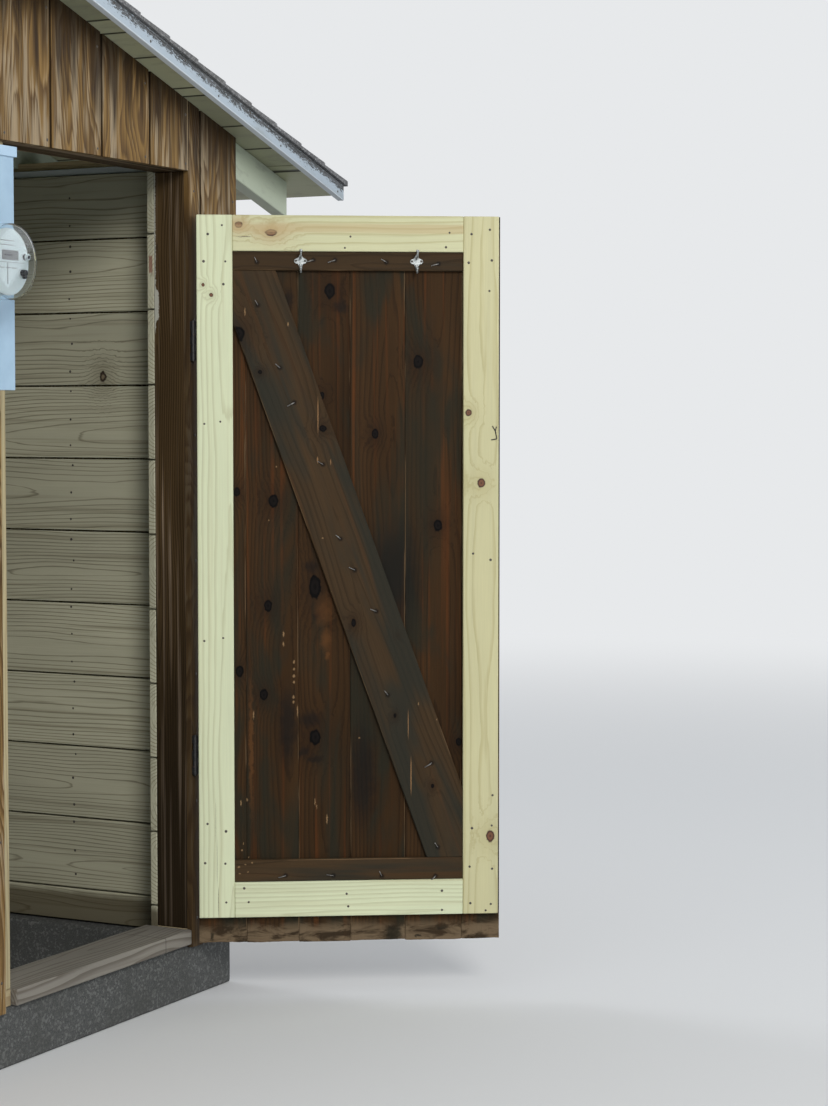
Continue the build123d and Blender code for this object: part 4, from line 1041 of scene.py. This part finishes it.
rakeNails = []
for step in range(9):
    run = 0.07 + step * 0.15
    for side, direction in ((1, fall), (-1, rise)):
        x = -0.3265 + side * run
        z = 2.4517 - 0.3043 * run + (0.018 if step % 2 else -0.003)
        rakeNails += [(Vector((x, y, z)), Vector((0, out, 0)), upward) for y, out in ((-0.1605, -1), (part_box("rake_boards")[1][1], 1))]
repeat("rakeNails", headTree, rakeNails, nailSteel, "building", "black_iron", Radius=0.0034, Height=0.0009, Seed=5)

hingeScrews = []
for foot in (0.5685, 1.6025):
    for rise2 in (0.016, 0.0485, 0.081):
        hingeScrews.append((Vector((0.3795, -0.0635, foot + rise2)), Vector((0, -1, 0)), upward))
repeat("hingeScrews", headTree, hingeScrews, blackIron, "building", "black_iron", Radius=0.0032, Height=0.0009, Vary=0.0, Seed=1)
print("screws and nails set")

# Asphalt shingles: separate tabs laid over the courses, and folded caps along the ridge
shingleTabs = {"across": 12, "gap": 0.006, "thick": 0.0026, "short": 0.0022, "least": 0.1}
ridgeCaps = {"count": 16, "ridgeX": -0.3265, "slope": 0.3043, "thick": 0.0058, "headDrop": 0.0034, "lap": 0.004}


def layTabs(node, settings):
    mesh = bmesh.new()
    mesh.from_mesh(nodes[node].data)
    bmesh.ops.remove_doubles(mesh, verts=mesh.verts, dist=0.00002)
    bmesh.ops.dissolve_limit(mesh, angle_limit=math.radians(0.6), verts=mesh.verts, edges=mesh.edges)
    tops = [face for face in mesh.faces if face.normal.z > 0.8 and face.calc_area() > 0.12]
    whole, halves = [], []
    for row, top in enumerate(sorted(tops, key=lambda face: face.calc_center_median().z)):
        middle, out = top.calc_center_median(), top.normal.copy()
        down = Vector((0, 1, 0)).cross(out).normalized()
        low, high = min(v.co.y for v in top.verts), max(v.co.y for v in top.verts)
        spread = [v.co.dot(down) for v in top.verts]
        if max(spread) - min(spread) < settings["least"]:
            continue  # the last course lies under the ridge caps
        depth = max(spread) - min(spread)
        step = (high - low) / settings["across"]
        upslope = down if down.z > 0 else -down
        middle = middle + out * settings["thick"] * 0.25 + upslope * settings["short"] * 0.5
        if row % 2:
            halves += [(Vector((middle.x, y, middle.z)), out, Vector((0, 1, 0))) for y in (low + step / 4, high - step / 4)]
        for k in range(settings["across"] - row % 2):
            y = low + step * (k + 0.5 + (row % 2) / 2)
            whole.append((Vector((middle.x, y, middle.z)), out, Vector((0, 1, 0))))
    mesh.free()
    words = node.split("_")
    name = words[0] + words[1].capitalize()
    for label, points, width in (("Tabs", whole, step), ("HalfTabs", halves, step / 2)):
        repeat(name + label, slabTree, points, shingleGrit, "building", "shingle", Width=width - settings["gap"],
               Length=depth - settings["short"], Height=settings["thick"], Vary=0.0, Spin=0.0, Seed=11)


def makeRidgeCaps(settings):
    low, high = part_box("ridge_cap")
    mesh = bmesh.new()
    half = high[0] - settings["ridgeX"]
    step = (high[1] - low[1]) / settings["count"]
    for k in range(settings["count"]):
        rings = []
        for y, drop in ((low[1] + step * k, 0.0), (low[1] + step * (k + 1) + (settings["lap"] if k < settings["count"] - 1 else 0.0),
                                                  settings["headDrop"])):
            top = high[2] - 0.0002 - drop
            line = [(side * (half - 0.001), top - settings["slope"] * (half - 0.001)) for side in (-1, 1)]
            shape = [line[0], (-0.012, top - 0.0022), (0.012, top - 0.0022), line[1]]
            shape += [(x, z - settings["thick"] + drop) for x, z in reversed(shape)]
            rings.append([mesh.verts.new((settings["ridgeX"] + x, y, z)) for x, z in shape])
        count = len(rings[0])
        for i in range(count):
            j = (i + 1) % count
            mesh.faces.new((rings[0][i], rings[0][j], rings[1][j], rings[1][i]))
        for ring in rings:
            for i in range(count // 2 - 1):
                mesh.faces.new((ring[i], ring[i + 1], ring[count - 2 - i], ring[count - 1 - i]))
    bmesh.ops.recalc_face_normals(mesh, faces=mesh.faces)
    markBoards(mesh, "y", "ridgeCaps")
    finishPiece("ridgeCaps", mesh, shingleGrit, "building", "shingle", 0.0006, 1, ("ridge_cap",))


for node in ("shingles_right", "shingles_left"):
    layTabs(node, shingleTabs)
makeRidgeCaps(ridgeCaps)
print("shingle tabs and ridge caps laid")


# Coat hooks: a waisted plate with two screws, a tall prong and a short one, both round-ended
coatHook = {
    "places": (266.0, 555.0), "height": 1848.0, "thick": 2.6, "face": 14.0,
    "outline": [(0, 19), (3.4, 14), (6.2, 8.5), (12.5, 6.2), (16.4, 2.6), (16.8, -1.5), (13.5, -5.4), (7, -7.4),
                (4.4, -12), (3.2, -18), (0, -20.5)],
    "upper": [(1, 9), (9, 8), (19, 8.5), (27, 11), (30.5, 18), (30.6, 24)],
    "lower": [(2, -8), (5, -17), (9, -25), (15, -27.5), (20.5, -23), (21.2, -18)],
    "wire": 2.7, "ball": 4.2,
}


def sweepTube(mesh, path, radii, sides=12):
    # a round bar of changing thickness along a list of places, closed at both ends
    rings = []
    for i, place in enumerate(path):
        ahead = (path[min(i + 1, len(path) - 1)] - path[max(i - 1, 0)]).normalized()
        side = ahead.cross(across + upward * 0.01).normalized()
        other = ahead.cross(side)
        rings.append([mesh.verts.new(place + (side * math.cos(a) + other * math.sin(a)) * radii[i])
                      for a in (2 * math.pi * k / sides for k in range(sides))])
    for low, high in zip(rings[:-1], rings[1:]):
        for k in range(sides):
            mesh.faces.new((low[k], low[(k + 1) % sides], high[(k + 1) % sides], high[k]))
    mesh.faces.new(rings[0])
    mesh.faces.new(list(reversed(rings[-1])))


def smoothPath(points, steps=5):
    # Catmull-Rom through the bends
    ends = [points[0]] + list(points) + [points[-1]]
    path = []
    for a, b, c, d in zip(ends, ends[1:], ends[2:], ends[3:]):
        for k in range(steps):
            t = k / steps
            path.append(tuple(0.5 * (2 * b[i] + (c[i] - a[i]) * t + (2 * a[i] - 5 * b[i] + 4 * c[i] - d[i]) * t * t
                                     + (3 * b[i] - a[i] - 3 * c[i] + d[i]) * t ** 3) for i in range(2)))
    path.append(points[-1])
    return path


def makeCoatHooks(settings):
    mesh = bmesh.new()
    face, height = settings["face"], settings["height"]
    screws = []
    for u in settings["places"]:
        right = settings["outline"]
        outline = right + [(-x, y) for x, y in reversed(right[1:-1])]
        back = [mesh.verts.new(door(u + x, face, height + y)) for x, y in outline]
        front = [mesh.verts.new(door(u + x * 0.9, face + settings["thick"], height + y * 0.94)) for x, y in outline]
        for i in range(len(outline)):
            j = (i + 1) % len(outline)
            mesh.faces.new((back[i], back[j], front[j], front[i]))
        mesh.faces.new(front)
        mesh.faces.new(list(reversed(back)))
        for key in ("upper", "lower"):
            flat = smoothPath(settings[key])
            path = [door(u, face + t, height + z) for t, z in flat]
            count = len(path) - 1
            radii = [settings["wire"] * (1.25 - 0.4 * min(1, i / (count * 0.7))) / 1000 for i in range(count + 1)]
            sweepTube(mesh, path, radii)
            end = path[-1]
            bmesh.ops.create_uvsphere(mesh, u_segments=14, v_segments=10, radius=settings["ball"] / 1000 * (1 if key == "upper" else 0.85),
                                      matrix=Matrix.Translation(end))
        screws += [(door(u + x, face + settings["thick"], height + 0.5), inward, upward) for x in (-11.4, 11.4)]
    bmesh.ops.recalc_face_normals(mesh, faces=mesh.faces)
    markBoards(mesh, "doorUp", "coatHooks")
    finishPiece("coatHooks", mesh, zincPlate, "door", "galvanised", 0.0, 1, ("coat_hooks",), smooth=50)
    repeat("coatHookScrews", headTree, screws, nailSteel, "door", "galvanised", Radius=0.0031, Height=0.0014, Vary=0.05, Seed=7)


makeCoatHooks(coatHook)

# Meter face: plain plate, counter window and setting knobs, with no lettering
meterFace = {"x": -0.671, "z": 1.781, "front": -0.1905 - 0.0652 - 0.018, "thick": 0.0012, "body": 0.018, "knob": 0.011}


def plateOn(mesh, settings, outline, level, deep):
    # a thin raised shape on the dial, outline in metres right and up from its centre
    y = settings["front"] - level
    low = [mesh.verts.new((settings["x"] + a, y, settings["z"] + b)) for a, b in outline]
    high = [mesh.verts.new((settings["x"] + a, y - deep, settings["z"] + b)) for a, b in outline]
    for i in range(len(outline)):
        j = (i + 1) % len(outline)
        mesh.faces.new((low[i], low[j], high[j], high[i]))
    mesh.faces.new(list(reversed(low)))
    mesh.faces.new(high)


def box2(x0, z0, x1, z1):
    return [(x0, z0), (x1, z0), (x1, z1), (x0, z1)]


def disc(x, z, radius, count=24):
    return [(x + radius * math.cos(2 * math.pi * k / count), z + radius * math.sin(2 * math.pi * k / count)) for k in range(count)]


def makeMeterFace(settings):
    thin, knob = settings["thick"], settings["knob"]
    lines = [box2(-0.05, -0.0012, 0.052, -0.0004), box2(-0.004, -0.046, -0.0032, -0.002)]
    lines += [box2(-0.026, z, 0.016, z + 0.0012) for z in (0.034, 0.043)]
    lines += [box2(x, -0.013, x + 0.014, -0.0115) for x in (-0.03, -0.008, 0.012)]
    parts = {
        "dialRim": (dialWhite, [(disc(0, 0, 0.0695, 64), -settings["body"], settings["body"] + thin)]),
        "dialWindow": (dialGrey, [(outline, thin, thin) for outline in [box2(-0.022, 0.004, 0.033, 0.024)] + lines]),
        "dialDark": (dialBlack, [(box2(-0.014, 0.0128, 0.011, 0.0156), thin * 2, thin), (disc(0.055, 0.012, 0.0064), thin, knob / 2),
                                 (disc(0.055, 0.012, 0.0037), thin + knob, thin), (disc(0.046, -0.021, 0.0068, 7), thin, knob),
                                 (disc(0.05, -0.029, 0.0045, 6), thin, knob * 0.7)]),
        "dialPort": (dialWhite, [(disc(0.055, 0.012, 0.0066), thin + knob / 2, knob / 2)]),
    }
    for name, (material, shapes) in parts.items():
        mesh = bmesh.new()
        for outline, level, deep in shapes:
            plateOn(mesh, settings, outline, level, deep)
        bmesh.ops.recalc_face_normals(mesh, faces=mesh.faces)
        finishPiece(name, mesh, material, "building", "meter_plastic", 0.0002, 1)


makeMeterFace(meterFace)
print("hooks and meter made")

# Camera: level eye height and a slight downward pitch, as in the photograph
camera = {
    "place": (-4.828, -3.3485, 1.455), "heading": 27.15, "pitch": 3.1,
    "focal": 2459.0, "wide": 828.0, "high": 1106.0, "sensor": 36.0,
}


def addCamera(settings):
    data = bpy.data.cameras.new("camera")
    data.sensor_fit = "VERTICAL"
    data.sensor_height = settings["sensor"]
    data.sensor_width = settings["sensor"] * settings["wide"] / settings["high"]
    data.lens = settings["sensor"] * settings["focal"] / settings["high"]
    eye = bpy.data.objects.new("camera", data)
    scene.collection.objects.link(eye)
    turn = Matrix.Rotation(math.radians(-90.0 + settings["heading"]), 4, "Z")
    tilt = Matrix.Rotation(math.radians(90.0 - settings["pitch"]), 4, "X")
    eye.matrix_world = Matrix.Translation(settings["place"]) @ turn @ tilt
    scene.camera = eye


def addLamp(name, size, power, colour, place, target):
    data = bpy.data.lights.new(name, "AREA")
    data.energy, data.shape, data.size, data.color = power, "DISK", size, colour
    lamp = bpy.data.objects.new(name, data)
    scene.collection.objects.link(lamp)
    lamp.location = place
    lamp.rotation_euler = (Vector(target) - Vector(place)).to_track_quat("-Z", "Y").to_euler()


addCamera(camera)
addLamp("key", 3.0, 420.0, (1.0, 0.975, 0.93), (-5.5, -6.0, 5.0), (0.3, 0, 1.2))
addLamp("fill", 5.0, 160.0, (0.93, 0.96, 1.0), (5.5, -6.5, 4.0), (0.3, 0, 1.0))
addLamp("back", 5.0, 330.0, (0.95, 0.97, 1.0), (1.5, 9.5, 5.0), (-0.3, 0.9, 1.0))

paleBackdrop = (0.8, 0.815, 0.83)


def seenDirectly(w):
    # 1 where the camera, a reflection or glass looks at it, and 0 for light that falls on the object
    path = w.add("ShaderNodeLightPath").outputs
    return w.maths("MAXIMUM", path["Is Camera Ray"], w.maths("MAXIMUM", path["Is Glossy Ray"], path["Is Transmission Ray"]))


world = bpy.data.worlds.new("world")
scene.world = world
world.use_nodes = True
w = Wiring(world.node_tree)
daylight = world.node_tree.nodes["Background"]
daylight.inputs["Color"].default_value = (0.9, 0.93, 0.96, 1)
daylight.inputs["Strength"].default_value = 0.55
backdrop = w.add("ShaderNodeBackground", {"Color": (*paleBackdrop, 1), "Strength": 1.0}).outputs[0]
seen = w.add("ShaderNodeMixShader", {0: seenDirectly(w), 1: daylight.outputs[0], 2: backdrop}).outputs[0]
w.plug(world.node_tree.nodes["World Output"].inputs["Surface"], seen)
scene.view_settings.view_transform = "Standard"

bpy.ops.mesh.primitive_plane_add(size=80, location=(0, 0, 0))
floor = bpy.context.object
floor.name = "floor"
floorPaint, w, shader = newMaterial("floorPaint")
shader.inputs["Base Color"].default_value = (0.72, 0.73, 0.74, 1)
shader.inputs["Roughness"].default_value = 0.9
far = w.between(w.vector("LENGTH", w.place()), 3.5, 11.0)
glow = w.add("ShaderNodeEmission", {"Color": (*paleBackdrop, 1), "Strength": 1.0}).outputs[0]
blend = w.add("ShaderNodeMixShader", {0: w.maths("MULTIPLY", far, seenDirectly(w)), 1: shader.outputs[0], 2: glow}).outputs[0]
w.plug(floorPaint.node_tree.nodes["Material Output"].inputs["Surface"], blend)
floor.data.materials.append(floorPaint)

print("scene finished")
